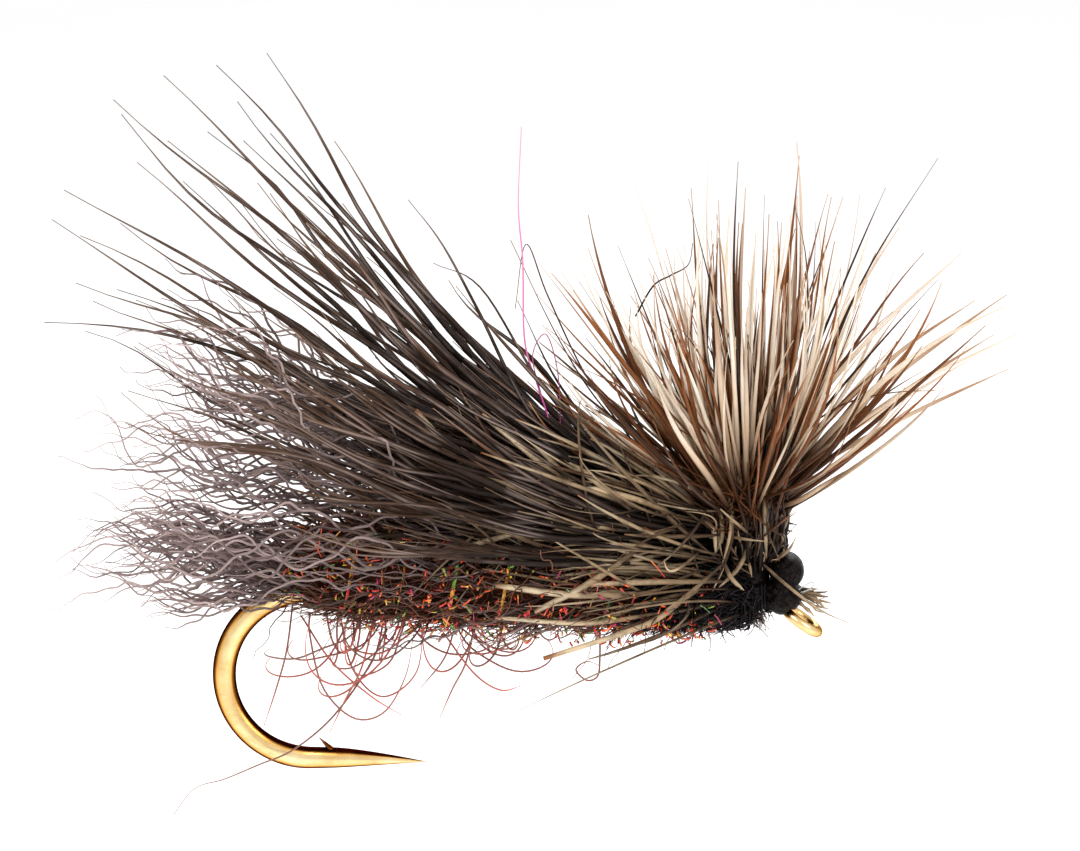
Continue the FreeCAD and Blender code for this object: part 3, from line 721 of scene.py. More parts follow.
BELLY_LOOPS = (
    ((-11.4, -0.5, 0.3), (-11.4, -0.6, -0.2), (-11.1, -0.8, -1.4), (-10.4, -0.9, -2.1), (-9.7, -0.8, -2.0),
     (-9.2, -0.6, -1.2), (-9.0, -0.5, -0.2)),
    ((-11.6, -0.4, 0.2), (-10.9, -0.7, -0.8), (-10.0, -0.8, -1.6), (-9.3, -0.8, -2.05)),
    ((-11.8, -0.3, 0.5), (-11.95, -0.5, -0.6), (-12.2, -0.6, -1.5), (-12.5, -0.6, -2.4)),
    ((-9.9, -0.7, 0.2), (-10.2, -0.9, -0.9), (-10.6, -0.9, -1.7), (-10.95, -0.9, -2.45)),
    ((-7.6, -0.8, 0.0), (-7.8, -0.9, -0.8), (-8.1, -0.9, -1.4), (-8.4, -0.9, -2.1)),
    ((-8.3, -0.8, -0.1), (-7.6, -1.0, -1.0), (-7.0, -1.0, -1.4), (-6.5, -1.0, -1.3)),
    ((-4.7, -0.8, 0.0), (-4.7, -0.9, -0.7), (-4.75, -0.9, -1.1), (-5.0, -0.9, -1.2), (-5.25, -0.9, -0.95),
     (-5.0, -0.9, -0.75), (-4.7, -0.9, -0.85)),
    ((-10.8, 0.8, 0.1), (-10.5, 0.9, -1.4), (-9.8, 0.9, -2.1), (-9.0, 0.8, -1.5), (-8.8, 0.7, -0.2)),
    ((-8.0, 0.8, 0.0), (-8.3, 0.9, -1.1), (-8.9, 0.9, -1.9)))
LOOSE_HAIR = (
    (-9.6, -0.75, 0.0), (-10.1, -0.85, -1.0), (-10.9, -0.92, -2.1), (-11.8, -0.97, -2.85),
    (-12.6, -1.0, -3.2), (-13.4, -0.98, -3.55), (-14.1, -0.9, -3.8), (-14.6, -0.8, -4.45))


def guard_hairs(material):
    """Long springy hairs that loop out of the belly, and the one that has worked loose."""
    dice = Dice(24)
    loops = Bundle()
    dice.count = 30
    x = BODY_BACK + 0.2 + (THORAX_FRONT - BODY_BACK - 2.0) * dice.skewed(1.0, 2.0)
    depth = dice.flat(0.35, 1.0) ** 1.1 * (2.2 - 0.14 * (x - BODY_BACK))
    width = dice.flat(-2.3, 2.3)
    side = dice.flat(-0.85, 0.85)
    foot = xyz(x, side, 0.15 + 0.25 * np.abs(side))
    belly = foot + xyz(0.2 * width, 0.5 * side, -1.35 * depth)
    turn = foot + xyz(1.3 * width, 0.8 * side + dice.bell(0, 0.3), -1.25 * depth)
    end = foot + xyz(width, 0.5 * side, -dice.flat(-0.1, 1.0) * depth)
    paths = waved(bezier(foot, belly, turn, end, 22), dice, 0.05, 1.8)
    loops.grow(dice, paths, 0.024, (6.0, 1.0), sides=4)
    for number, route in enumerate(BELLY_LOOPS):
        loops.line(route, 36, 0.024, (6.0, 1.0), tint=0.35 + 0.5 * (number % 2))
    loops.show("guard_loops", material, "guard_hair", "guard_fibres")
    stray = Bundle()
    stray.line(LOOSE_HAIR, 60, 0.026, (2.5, 1.0), tint=0.1)
    stray.show("stray_strand", material, "guard_hair", "stray_fibre")


# ---- crinkled fibres
def crinkle(bundle, dice, root, way, reach, thick, wander, tint, points=36):
    """Synthetic fibres with a tight crimp on a looser wander, each on its own way back."""
    dice.count = len(root)
    tint = dice.between(tint)
    end = root + way * column(reach)
    bow = dice.cloud(0.35) * column(reach / 8)
    paths = bezier(root, root + way * column(reach * 0.33) + bow, root + way * column(reach * 0.7) - bow, end,
                   points)
    wide, coarse, fine = (wander, 3.0, 0.3), (0.06, 1.3, 0.2), (0.042, 0.72, 0.2)
    for height, wave_length, quiet in (wide, coarse, fine):
        paths = waved(paths, dice, height, wave_length, quiet)
    bundle.grow(dice, paths, thick, (8.0, 1.0), tint, sides=3)


def crinkled_fibres(material):
    """The underwing over the abdomen, the shuck behind the bend, and the loose fibres on the flanks.

    v, from -1 to 1, is a fibre's place up its bundle.
    """
    dice = Dice(31)
    under = Bundle()
    dice.count = 136
    v = dice.flat(-1, 1)
    swing = 13 * dice.flat(-1, 1)
    root = xyz(dice.flat(-7.2, -5.6), 0.075 * swing, 2.1 + 0.55 * v)
    rise = np.maximum(13 + 18 * v + dice.bell(0, 4), -5)
    reach = dice.flat(8.0, 10.7) - 0.02 * np.abs(rise)
    crinkle(under, dice, root, swept_way(rise, swing), reach, thick=0.036, wander=0.36, tint=(0, 1),
            points=84)
    under.show("underwing_crinkle", material, "crinkled_fibre", "underwing_fibres")

    shuck = Bundle()
    dice.count = 74
    v = dice.flat(-1, 1)
    swing = 24 * dice.flat(-1, 1)
    root = xyz(dice.flat(-11.6, -10.6), 0.02 * swing, 1.05 + 0.32 * v)
    reach = dice.flat(2.8, 5.4)
    crinkle(shuck, dice, root, swept_way(7 + 11 * v, swing), reach, thick=0.033, wander=0.26, tint=(0, 1))
    low_rises = np.array([-15, -11, -7, -13])
    low = slice(len(low_rises))
    way = swept_way(low_rises, swing[low])
    crinkle(shuck, dice, root[low], way, np.full(len(way), 4.3), thick=0.03, wander=0.2, tint=0.5)
    shuck.show("shuck_crinkle", material, "crinkled_fibre", "trailing_shuck")

    flank = Bundle()
    for side in SIDES:
        dice.count = 40
        x = dice.flat(-9.4, -3.6)
        height = dice.flat(-0.1, 2.4)
        root = xyz(x, side * (1.12 - 0.22 * (height - 0.9) ** 2), height)
        swing = side * dice.flat(-5, 9)
        way = swept_way(dice.bell(2, 9), swing)
        crinkle(flank, dice, root, way, dice.flat(2.0, 5.0), thick=0.025, wander=0.18, tint=(0, 0.8))
    flank.show("flank_crinkle", material, "crinkled_fibre")


# ---- wing
def hair_to(bundle, dice, root, tip, leave_rise, tip_rise, swing, thick, points=26, power=2.3, tint=(0, 1),
            wave=0.05):
    """Stiff hairs from roots to tips: they leave at one rise and end at another."""
    thick = dice.between(thick)
    span = np.linalg.norm(tip - root, axis=1)
    leave = root + swept_way(leave_rise, swing) * column(span * 0.3)
    arrive = tip - swept_way(tip_rise, swing) * column(span * 0.4)
    paths = waved(bezier(root, leave, arrive, tip, points), dice, wave, 6.5, 0.4)
    bundle.grow(dice, paths, thick, (power,), tint, sides=6)


def seen_from_root(tip):
    """The rise and the swing, in degrees, of a tip seen from the wing's root."""
    back = WING_ROOT[0] - tip[:, 0]
    return np.degrees(np.arctan2(tip[:, 2] - WING_ROOT[2], back)), np.degrees(np.arctan2(tip[:, 1], back))


# Tips of the longest hairs on the wing's outline: x, z, rise at the tip in degrees, and y. The camera looks
# down on the fly, so a nearer tip has to be set higher to be seen at its z.
SIGHT_SLOPE = 0.2
OUTLINE_TIPS = np.array((
    (-13.3, 12.9, 48, -0.9), (-12.2, 13.2, 62, -0.5), (-14.5, 12.6, 44, -1.2), (-15.5, 12.1, 40, -1.8),
    (-15.7, 11.8, 44, 0.8), (-14.4, 11.2, 41, -1.0), (-15.3, 10.7, 40, 0.4), (-16.7, 10.1, 31, -1.4),
    (-17.3, 9.4, 33, 0.6), (-16.5, 9.0, 27, -0.6), (-15.8, 9.4, 30, 1.6), (-16.5, 8.0, 21, -1.3),
    (-17.3, 7.1, 4, -0.8), (-14.3, 10.4, 45, 1.4), (-13.6, 11.6, 47, 0.9), (-12.9, 12.2, 52, 0.3)))
STEEP_HAIRS = (
    (((-2.3, -0.5, 2.8), (-4.6, -0.7, 3.7), (-6.2, -0.8, 4.95), (-7.5, -0.8, 7.5), (-8.3, -0.8, 9.0),
      (-9.05, -0.8, 10.0)), 0.06),
    (((-2.3, -0.2, 2.9), (-4.4, -0.3, 3.9), (-6.0, -0.4, 5.6), (-7.4, -0.5, 7.9), (-8.5, -0.5, 8.5)), 0.05),
    (((-2.2, 0.5, 2.8), (-4.2, 0.6, 3.8), (-5.6, 0.7, 5.4), (-6.6, 0.8, 7.4)), 0.055))


def dark_wing(material):
    """The wing: hollow dark hairs that leave the root together and fan out up and back.

    u and v, from -1 to 1, are a hair's place across and up the bundle.
    """
    dice = Dice(41)
    wing = Bundle()
    clumps, each = 26, 4
    dice.count = clumps * each
    v = np.repeat(dice.rng.permutation(np.linspace(-1, 1, clumps)), each)
    u = np.repeat(dice.rng.uniform(-1, 1, clumps), each)
    rise = np.maximum(21.5 + 19.5 * v + dice.bell(0, 3.4), 4.5)
    swing = 15 * u + dice.bell(0, 3.6)
    root = WING_ROOT + xyz(dice.flat(-0.4, 0.5), 0.75 * u, 0.55 * v)
    longest = np.where(rise > 14, 15.2, 10.8)
    reach = longest * dice.skewed(5.0, 1.6) * np.where(rise > 36, 0.95, 1.0)
    tip = root + swept_way(rise, swing) * column(reach)
    tip_rise = rise * 1.12 + dice.flat(0, 13)
    hair_to(wing, dice, root, tip, 0.28 * rise, tip_rise, swing, (0.055, 0.105), wave=0.22, power=3.0)

    dice.count = 16
    tip = xyz(dice.flat(-13.8, -10.8), dice.flat(-2.6, 2.6), dice.flat(3.8, 6.8))
    rise, swing = seen_from_root(tip)
    root = WING_ROOT + xyz(0.2, 0.05 * swing, 0.02 * (rise - 20))
    hair_to(wing, dice, root, tip, 0.3 * rise, rise + 8, swing, 0.115, power=5.0, tint=(0.1, 0.6), wave=0.15)

    dice.count = 30
    v = dice.flat(-1, 1)
    u = np.where(np.arange(dice.count) % 2, 1, -1) * dice.flat(0.7, 1.0)
    root = WING_ROOT + xyz(dice.flat(-2.5, 0.2), 0.95 * u, 0.5 * v + 0.2)
    rise = 20 - 14 * v + dice.bell(0, 4)
    swing = 12 * u
    tip = root + swept_way(rise, swing) * column(dice.flat(5.0, 10.5))
    hair_to(wing, dice, root, tip, rise - 12, rise + 16, swing, (0.06, 0.1), power=3.5, tint=(0.2, 1.0),
            wave=0.2)

    x, z, tip_rise, y = OUTLINE_TIPS.T
    dice.count = len(x)
    tip = xyz(x, y, z - SIGHT_SLOPE * y)
    rise, swing = seen_from_root(tip)
    root = WING_ROOT + xyz(0.2, 0.05 * swing, 0.02 * (rise - 25))
    hair_to(wing, dice, root, tip, 0.38 * rise, tip_rise, swing, 0.09, power=3.2, tint=(0, 0.5), wave=0.14)
    for route, thick in STEEP_HAIRS:
        wing.line(route, 30, thick, tint=0.4, sides=6)
    wing.show("wing_hairs", material, "dark_hair", "hair_wing")

    root_hairs = Bundle()
    dice.count = 220
    v, u = dice.flat(-1, 1), dice.flat(-1, 1)
    root = WING_ROOT + xyz(dice.flat(0.1, 0.6), 0.55 * u, 0.6 * v - 0.15)
    rise = 19.5 + 12.5 * v
    swing = 19 * u
    reach = dice.flat(3.0, 9.5) * np.where(rise > 22, 0.75, 1.0)
    tip = root + swept_way(rise, swing) * column(reach)
    hair_to(root_hairs, dice, root, tip, 0.35 * rise, rise + 12, swing, (0.06, 0.09), points=14,
            tint=(0, 0.6), wave=0.06)
    t = np.linspace(0, 1, 16)
    core = xyz(-1.9 - 5.6 * t, 0, WING_ROOT[2] + 0.02 + 1.15 * t ** 1.3)
    thick = 0.62 + 0.28 * np.sin(math.pi * t) - 0.3 * t
    root_hairs.add(core[None], thick[None], tint=0.0, sides=20, flat=0.85)
    root_hairs.show("wing_root_hairs", material, "dark_hair", "wing_root")


# Thickness of a trimmed butt at even steps from its root to its square end, and how a broken one ends.
SQUARE_END = np.array([0.45, 0.75, 0.95, 1.0, 1.0, 0.97, 0.9, 0.8])
BROKEN_END = [1, 1, 1, 1, 1, 0.9, 0.7, 0.4]
# The thick butts seen on the flank, as x and z.
THICK_BUTTS = (
    ((-5.7, 3.0), (-6.7, 3.5), (-7.9, 4.2), (-8.9, 5.3)),
    ((-5.2, 3.5), (-6.0, 4.0), (-6.8, 4.7), (-7.4, 5.2)),
    ((-5.1, 3.5), (-5.6, 3.9), (-6.3, 4.6)), ((-6.0, 2.1), (-7.0, 2.55), (-8.3, 2.9)),
    ((-5.8, 2.8), (-6.5, 2.5), (-7.9, 2.1)), ((-4.3, 2.5), (-5.0, 2.6), (-5.8, 2.5)),
    ((-3.8, 2.1), (-4.9, 1.3), (-6.2, 0.6)), ((-1.9, 1.7), (-3.2, 0.55), (-4.0, 0.15), (-6.0, -0.5)),
    ((-2.4, 1.15), (-3.2, 0.6)), ((-3.2, 1.05), (-5.2, 1.0), (-7.1, 1.25)),
    ((-1.9, 1.3), (-3.6, 1.3), (-5.0, 1.25)), ((-3.2, 0.6), (-5.0, 0.35), (-7.1, 0.5)),
    ((-4.0, 3.0), (-4.7, 3.6), (-5.6, 4.3)), ((-3.0, 2.9), (-4.0, 3.3), (-5.2, 3.6)))


def butts(material):
    """The pale trimmed butts: stiff, thick and cut square, lying over the wing's foot and flanks."""
    dice = Dice(42)
    cut = Bundle()
    last = len(SQUARE_END) - 1
    square = np.interp(np.linspace(0, last, 12), range(last + 1), SQUARE_END)[None]
    for side in SIDES:
        dice.count = 46
        share = dice.flat(0, 1) ** 1.6
        root = xyz(-1.75 - 1.3 * dice.flat(0, 1), side * (0.86 + 0.3 * dice.flat(0, 1)), 3.05 - 2.5 * share)
        rise = 30 - 38 * share + dice.bell(0, 13)
        way = swept_way(rise, side * dice.flat(1, 13))
        reach = dice.flat(1.8, 5.4)
        end = root + way * column(reach)
        sag = UP * column(dice.flat(-0.3, 0.35))
        paths = arched(root, end, way, column(reach * 0.3), sag, len(SQUARE_END))
        radii = column(dice.flat(0.025, 0.06)) * SQUARE_END * BROKEN_END
        cut.add(paths, radii, tint=dice.flat(0, 0.7), sides=6, tip=0.012)
        dice.count = 70
        start = xyz(dice.flat(-7.2, -2.0), side * dice.flat(1.05, 1.5), dice.flat(0.7, 3.2))
        start[:, 2] -= 0.16 * np.minimum(start[:, 0] + 3.0, 0)
        way = swept_way(dice.bell(14, 34), side * dice.bell(2, 12))
        end = start + way * column(dice.flat(0.8, 3.0))
        paths = arched(start, end, way, 0.3, dice.cloud(0.22) * [1, 0.5, 1], 12)
        thick = dice.flat(0.018, 0.045)
        cut.grow(dice, paths, thick, (3.0,), dice.flat(0, 1) ** 2.5, sides=6, tip=0.008)
        far_shift = 0.3 * (side > 0)
        for number, route in enumerate(THICK_BUTTS):
            places = [(x + far_shift, side * (1.22 + 0.035 * abs(x)),
                       z + 0.25 * side * (0.4 + 0.02 * number) + 0.1) for x, z in route]
            thick = 0.08 - 0.012 * (number % 3)
            cut.add(through(places, 12), thick * square, tint=0.75 + 0.25 * (number % 2), sides=8, tip=0.03)
    cut.show("butt_hairs", material, "pale_butts", "wing_butts")

    legs = Bundle()
    for side in SIDES:
        dice.count = 5
        share = np.linspace(0, 1, dice.count)
        root = xyz(-1.5 - 0.3 * share, side * (0.8 + 0.1 * share), 0.35 + 1.2 * share)
        way = swept_way(-20 + 24 * share + dice.bell(0, 4), side * dice.flat(8, 22))
        end = root + way * column(dice.flat(3.2, 5.6))
        bow = UP * column(dice.flat(-0.3, 0.5)) + np.array([0, side * 0.3, 0])
        paths = arched(root, end, way, 1.2, bow, 16)
        legs.grow(dice, paths, (0.04, 0.058), (2.6,), (0, 0.6), sides=6, flat=0.6)
    legs.show("flank_barbs", material, "pale_butts", "side_barbs")


POST_STRAWS = (
    ((-0.95, -0.84, 3.35), (-0.93, -0.92, 2.6), (-0.88, -0.88, 1.7)),
    ((-1.78, -0.86, 3.4), (-1.7, -0.96, 2.75), (-1.73, -0.98, 2.2), (-1.88, -1.0, 1.56),
     (-2.12, -1.05, 0.96)),
    ((-1.86, -1.0, 1.6), (-1.68, -1.0, 1.25), (-1.39, -0.95, 0.95)),
    ((-2.3, -0.85, 5.1), (-1.35, -0.85, 3.8), (-0.85, -0.7, 2.8)),
    ((-2.1, -0.75, 2.9), (-1.95, -0.82, 2.75), (-1.9, -0.82, 2.2), (-2.1, -0.8, 1.7)),
    ((-2.35, -0.8, 2.6), (-2.1, -0.9, 2.35), (-2.05, -0.9, 1.8)),
    ((-1.2, -0.72, 2.2), (-1.5, -0.85, 1.5), (-2.0, -0.95, 1.0)),
    ((-0.95, 0.62, 3.0), (-0.95, 0.68, 2.2), (-0.9, 0.6, 1.5)),
    ((-1.8, 0.7, 3.2), (-1.6, 0.75, 2.2), (-1.3, 0.72, 1.6)))


def post(dark, pale):
    """The upright bundle under the hackle: dark hair with a few pale straws on its outside."""
    dice = Dice(43)
    hairs = Bundle()
    core_radius = 0.58
    dice.count = 240
    out = level_way(dice.flat(0, 2 * math.pi))
    foot = np.array([POST_X - 0.05, 0, 1.3]) + out * column(dice.flat(0.35, 0.85)) * [1.0, 0.9, 0]
    foot[:, 2] += dice.flat(-0.1, 0.7)
    end = HACKLE_FOOT + out * column(core_radius * dice.flat(0.9, 1.5))
    end[:, 2] += dice.flat(-0.2, 1.3)
    middle = (foot + end) / 2 + out * column(dice.flat(-0.05, 0.18)) + dice.cloud(0.12)
    end = end + dice.cloud(0.12)
    hairs.grow(dice, bezier(foot, middle, middle, end, 9), (0.035, 0.06), (4.0,), (0, 0.6))

    dice.count = 80
    angle = dice.flat(0, 2 * math.pi)
    out = level_way(angle) * column(0.48 * np.sqrt(dice.flat(0, 1)))
    foot = HACKLE_FOOT + out
    end = foot + out * 2.2 + UP * column(dice.flat(2.0, 4.6)) + dice.cloud(0.25)
    paths = bezier(foot, foot + UP * 0.8, end - UP * 1.0 - out, end, 12)
    hairs.grow(dice, paths, (0.045, 0.075), (2.5,), sides=6)
    t = np.linspace(0, 1, 12)
    core = xyz(POST_X, 0, 1.0 + (POST_HIGH[2] - 1.2) * t)
    hairs.add(core[None], (0.55 - 0.1 * np.sin(math.pi * t) - 0.25 * t ** 4)[None], tint=0.0, sides=20)
    hairs.show("post_hairs", dark, "dark_hair", "wing_post")

    straws = Bundle()
    for number, route in enumerate(POST_STRAWS):
        straws.line(route, 18, 0.056, (7.0, 0.9), tint=0.6 + 0.4 * (number % 2), sides=6)
    dice.count = 150
    out = level_way(dice.flat(0, 2 * math.pi))
    foot = np.array([POST_X - 0.05, 0, 0]) + out * column(dice.flat(0.6, 0.82))
    foot[:, 2] = dice.flat(1.5, 2.7)
    end = foot + dice.cloud(0.35) * [1, 1, 0] + UP * column(dice.flat(-1.0, 1.2))
    middle = (foot + end) / 2 + out * 0.12
    paths = bezier(foot, middle, middle, end, 9)
    straws.grow(dice, paths, (0.018, 0.042), (3.5,), (0, 0.8), sides=6, tip=0.008)
    straws.show("post_straws", pale, "pale_butts")


# ---- hackle
def barbs(bundle, dice, count, start_angle, lean, reach, thick, flat, tint, power=3.6):
    """Barbs of a wound feather. They stand out all round the post and sweep up into a bowl."""
    turns, steepest = 7, 62
    dice.count = count
    tint = dice.between(tint)
    share = (np.arange(count) + dice.flat(0, 1)) / count
    out = level_way(start_angle + 2 * math.pi * turns * share)
    root = HACKLE_FOOT + out * 0.6
    root[:, 2] += 0.6 * share + dice.bell(0, 0.05)
    front = np.clip(out[:, 0], 0, 1)
    low, high = lean
    lean = dice.flat(0, 1) ** (1 + 1.1 * front)
    lean = np.radians(np.minimum(low + (high - low) * lean, steepest - 14 * front))
    out = unit(out + dice.cloud(0.16) * [1, 1, 0])
    way = out * column(np.sin(lean)) + UP * column(np.cos(lean))
    low, high = reach
    reach = (low + (high - low) * dice.skewed(1.7, 2.2)) * (1 - 0.16 * np.clip(lean - 0.7, 0, 1))
    end = root + way * column(reach)
    bow = (out * 0.55 - UP * 0.35) * column(dice.flat(-0.6, 1.4)) + dice.cloud(0.16)
    leave = root + way * column(reach * 0.3) + 0.45 * bow
    paths = bezier(root, leave, end - way * column(reach * 0.35) + bow, end, 18)
    bundle.grow(dice, waved(paths, dice, 0.04, 6.0), thick, (power, 0.7), tint, roll=(0, math.pi), sides=6,
                flat=flat)


BROWN_BARBS = (
    ((-1.0, -0.5, 3.0), (-0.07, -0.6, 4.4), (0.58, -0.7, 5.4), (1.86, -0.9, 7.0), (2.9, -1.0, 8.2)),
    ((-1.0, -0.4, 3.0), (0.0, -0.4, 4.9), (0.6, -0.4, 6.6), (1.5, -0.5, 8.6), (2.9, -0.5, 10.9)),
    ((-1.1, -0.3, 3.0), (-0.5, -0.3, 4.6), (0.2, -0.3, 6.4), (1.2, -0.3, 8.9), (1.75, -0.3, 10.2)),
    ((-1.2, -0.6, 3.0), (-1.5, -0.9, 5.0), (-2.1, -1.2, 7.6), (-2.75, -1.3, 10.1)))
BARRED_BARBS = (
    ((-0.9, -0.4, 3.0), (0.6, -0.5, 4.0), (2.6, -0.5, 5.1), (4.6, -0.5, 6.05)),
    ((-0.9, -0.2, 3.0), (0.8, -0.2, 4.4), (2.6, -0.2, 5.7), (4.3, -0.2, 6.8)),
    ((-0.9, 0.2, 3.0), (0.4, 0.2, 4.6), (2.2, 0.3, 6.3), (3.9, 0.3, 7.5)),
    ((-0.8, -0.5, 2.9), (0.2, -0.6, 3.5), (1.4, -0.7, 4.4), (2.5, -0.7, 5.3)),
    ((-0.8, -0.6, 2.8), (-0.2, -0.7, 3.0), (0.4, -0.8, 3.4), (1.1, -0.8, 3.85)),
    ((-0.9, -0.5, 3.2), (0.7, -0.6, 4.4), (2.6, -0.7, 5.8), (4.75, -0.7, 6.9)),
    ((-0.9, 0.4, 3.2), (0.5, 0.6, 4.0), (2.2, 0.8, 5.0), (4.0, 0.8, 6.1)),
    ((-1.0, -0.3, 3.3), (0.2, -0.3, 5.2), (1.7, -0.3, 7.0), (3.5, -0.3, 8.7)))


def hackle(brown, grizzly):
    """Two feathers wound together: a brown one and a pale barred one."""
    dice = Dice(51)
    feather = Bundle()
    barbs(feather, dice, count=106, start_angle=0.3, lean=(3, 60), reach=(4.2, 8.8), thick=(0.045, 0.07),
          flat=0.55, tint=(0, 1))
    for route in BROWN_BARBS:
        feather.line(route, 24, 0.085, (1.8,), tint=0.0, sides=6, flat=0.6)
    for side in SIDES:
        dice.count = 34
        root = xyz(POST_X + dice.bell(-0.1, 0.45), side * dice.flat(0.65, 1.0),
                   HACKLE_Z + dice.flat(-0.1, 0.9))
        lean = np.radians(np.clip(dice.bell(-14, 32), -66, 40))
        way = unit(xyz(np.sin(lean), side * dice.flat(0.0, 0.4), np.cos(lean)))
        end = root + way * column(dice.flat(2.0, 5.2))
        paths = arched(root, end, way, 1, dice.cloud(0.2), 14)
        feather.grow(dice, paths, (0.035, 0.06), (3.6,), (0, 0.7), sides=6, flat=0.6)
        dice.count = 56
        root = xyz(POST_X + dice.bell(-0.1, 0.5), side * dice.flat(0.72, 1.0),
                   HACKLE_Z + dice.flat(-0.3, 0.8))
        lean = np.radians(dice.flat(-75, 60))
        way = unit(xyz(np.sin(lean), side * dice.flat(0.0, 0.3), np.cos(lean)))
        end = root + way * column(dice.flat(0.7, 2.3))
        paths = arched(root, end, way, 0.3, dice.cloud(0.2) * [1, 0.4, 1], 10)
        feather.grow(dice, paths, (0.025, 0.05), (3.0,), (0, 0.8), sides=6, flat=0.6)
    feather.show("brown_barbs", brown, "brown_hackle", "brown_hackle_barbs")

    feather = Bundle()
    barbs(feather, dice, count=92, start_angle=2.1, lean=(3, 52), reach=(4.0, 8.4), thick=(0.05, 0.085),
          flat=0.45, tint=(0, 1))
    barbs(feather, dice, count=56, start_angle=1.1, lean=(2, 38), reach=(4.6, 7.4), thick=(0.065, 0.092),
          flat=0.4, tint=(0.55, 1), power=2.4)
    for number, route in enumerate(BARRED_BARBS):
        feather.line(route, 24, 0.06, (4.0,), tint=0.1 + 0.5 * (number > 4), sides=6, flat=0.6, roll=1.5)
    feather.show("grizzly_barbs", grizzly, "grizzly_hackle", "grizzly_hackle_barbs")

    for name, node, slot, material, start in (
            ("brown_quill", "brown_hackle_quill", "brown_hackle", brown, 0.0),
            ("grizzly_quill", "grizzly_hackle_quill", "grizzly_hackle", grizzly, math.pi)):
        low, high = corners(node)
        radius = (high[1] - low[1]) / 2 - 0.05
        t = np.linspace(0, 1, 60)
        angle = start + 3 * math.pi * t
        route = xyz(POST_X + radius * np.cos(angle), radius * np.sin(angle), low[2] + 0.06 + 0.6 * t)
        quill = Bundle()
        quill.add(route[None], 0.062 * tapered(60, 5.0, 1.0)[None], tint=0.3, sides=8, flat=0.8)
        quill.show(name, material, slot, node)


THIN_HAIRS = (
    ((-3.4, -0.3, 3.9), (-4.7, -0.3, 5.2), (-5.7, -0.3, 6.8), (-6.75, -0.3, 9.0)),
    ((-3.8, 0.3, 4.0), (-5.0, 0.3, 5.7), (-5.9, 0.3, 7.6), (-6.4, 0.3, 8.8), (-6.65, 0.3, 7.3)),
    ((-3.9, -0.1, 7.2), (-3.5, -0.1, 7.9), (-3.1, -0.1, 8.15), (-2.7, -0.1, 8.4), (-2.6, -0.1, 8.9)),
    ((-0.2, -0.8, 4.6), (0.8, -0.9, 5.3), (1.9, -1.0, 5.6), (2.9, -1.0, 5.65)),
    ((0.2, 0.4, 5.0), (1.0, 0.4, 7.2), (1.6, 0.3, 8.6)))


PINK_STRAND = (
    (-5.75, -0.4, 3.9), (-5.87, -0.4, 4.8), (-6.15, -0.4, 5.7), (-6.43, -0.4, 6.7), (-6.47, -0.4, 8.5),
    (-6.57, -0.4, 9.8), (-6.5, -0.4, 11.6))
FOLDED_STRAND = (
    (-5.6, -0.2, 4.0), (-5.66, -0.2, 5.8), (-5.94, -0.2, 6.8), (-6.25, -0.2, 6.3), (-6.05, -0.2, 5.4),
    (-5.8, -0.2, 4.4))


def fine_strays(pink, brown):
    """The pink flash strand and the folded, very thin hairs that stand beside it."""
    strands = Bundle()
    strands.line(PINK_STRAND, 40, 0.021, (6.0, 1.0), tint=0.15)
    strands.line(FOLDED_STRAND, 40, 0.014, (8.0, 1.0), tint=0.9, sides=4)
    strands.show("pink_strands", pink, "pink_flash", "flash_strands")
    hairs = Bundle()
    for route in THIN_HAIRS:
        hairs.line(route, 34, 0.022, (3.0, 1.0), tint=0.2)
    hairs.show("thin_hairs", brown, "brown_hackle")


# ---- head
def foam(material):
    """The end of the foam strip over the head, with its cut cells."""
    low, high = corners("foam_head")
    dome_r, chin_r = 0.37, 0.41
    dome = Vector(((low[0] + high[0]) / 2 + 0.1, 0, high[2] - dome_r))
    chin = Vector(((low[0] + high[0]) / 2 - 0.02, 0, low[2] + chin_r))
    half_width = (high[1] - low[1]) / 2

    def cells(place):
        pit = noise.voronoi(place * 11)[0][0]
        return 0.025 + 0.018 * min(1.0, pit * 2.2) + 0.02 * noise.noise(place * 3)

    mesh = remeshed("foam_block", "foam_head", 0.022, cells)
    for vertex in mesh.vertices:
        place = vertex.co / MM
        flat = Vector((place.x, 0, place.z))
        centre = dome if (flat - dome).length * chin_r < (flat - chin).length * dome_r else chin
        pull = 1 - 0.42 * min(1.0, abs(place.y) / half_width) ** 3
        flat = centre + (flat - centre) * pull
        vertex.co = Vector((flat.x, place.y, flat.z)) * MM
    mesh.update()
    block = piece("foam_block", mesh, material, "black_foam", "foam_head")


def snout(material):
    """Broken hair ends over the eye and the long pale hair that lies across the foam."""
    dice = Dice(61)
    hairs = Bundle()
    hairs.line(((-0.95, -0.6, 1.5), (-0.6, -0.62, 1.18), (-0.16, -0.6, 0.8), (0.44, -0.42, 0.33),
                (1.05, -0.3, 0.02)), 34, 0.045, (2.6, 0.7), tint=0.7, sides=6)
    dice.count = 26
    root = xyz(-0.12, dice.flat(-0.42, 0.42), dice.flat(0.5, 0.78))
    way = unit(xyz(dice.flat(0.5, 1.0), dice.bell(0, 0.35), dice.flat(-0.75, 0.1)))
    end = root + way * column(dice.flat(0.35, 0.85))
    paths = waved(bezier(root, root + way * 0.15, end - UP * 0.02, end, 7), dice, 0.03, 0.6)
    hairs.grow(dice, paths, (0.022, 0.045), (4.0, 0.8))
    hairs.show("snout_strands", material, "pale_butts", "snout_hairs")


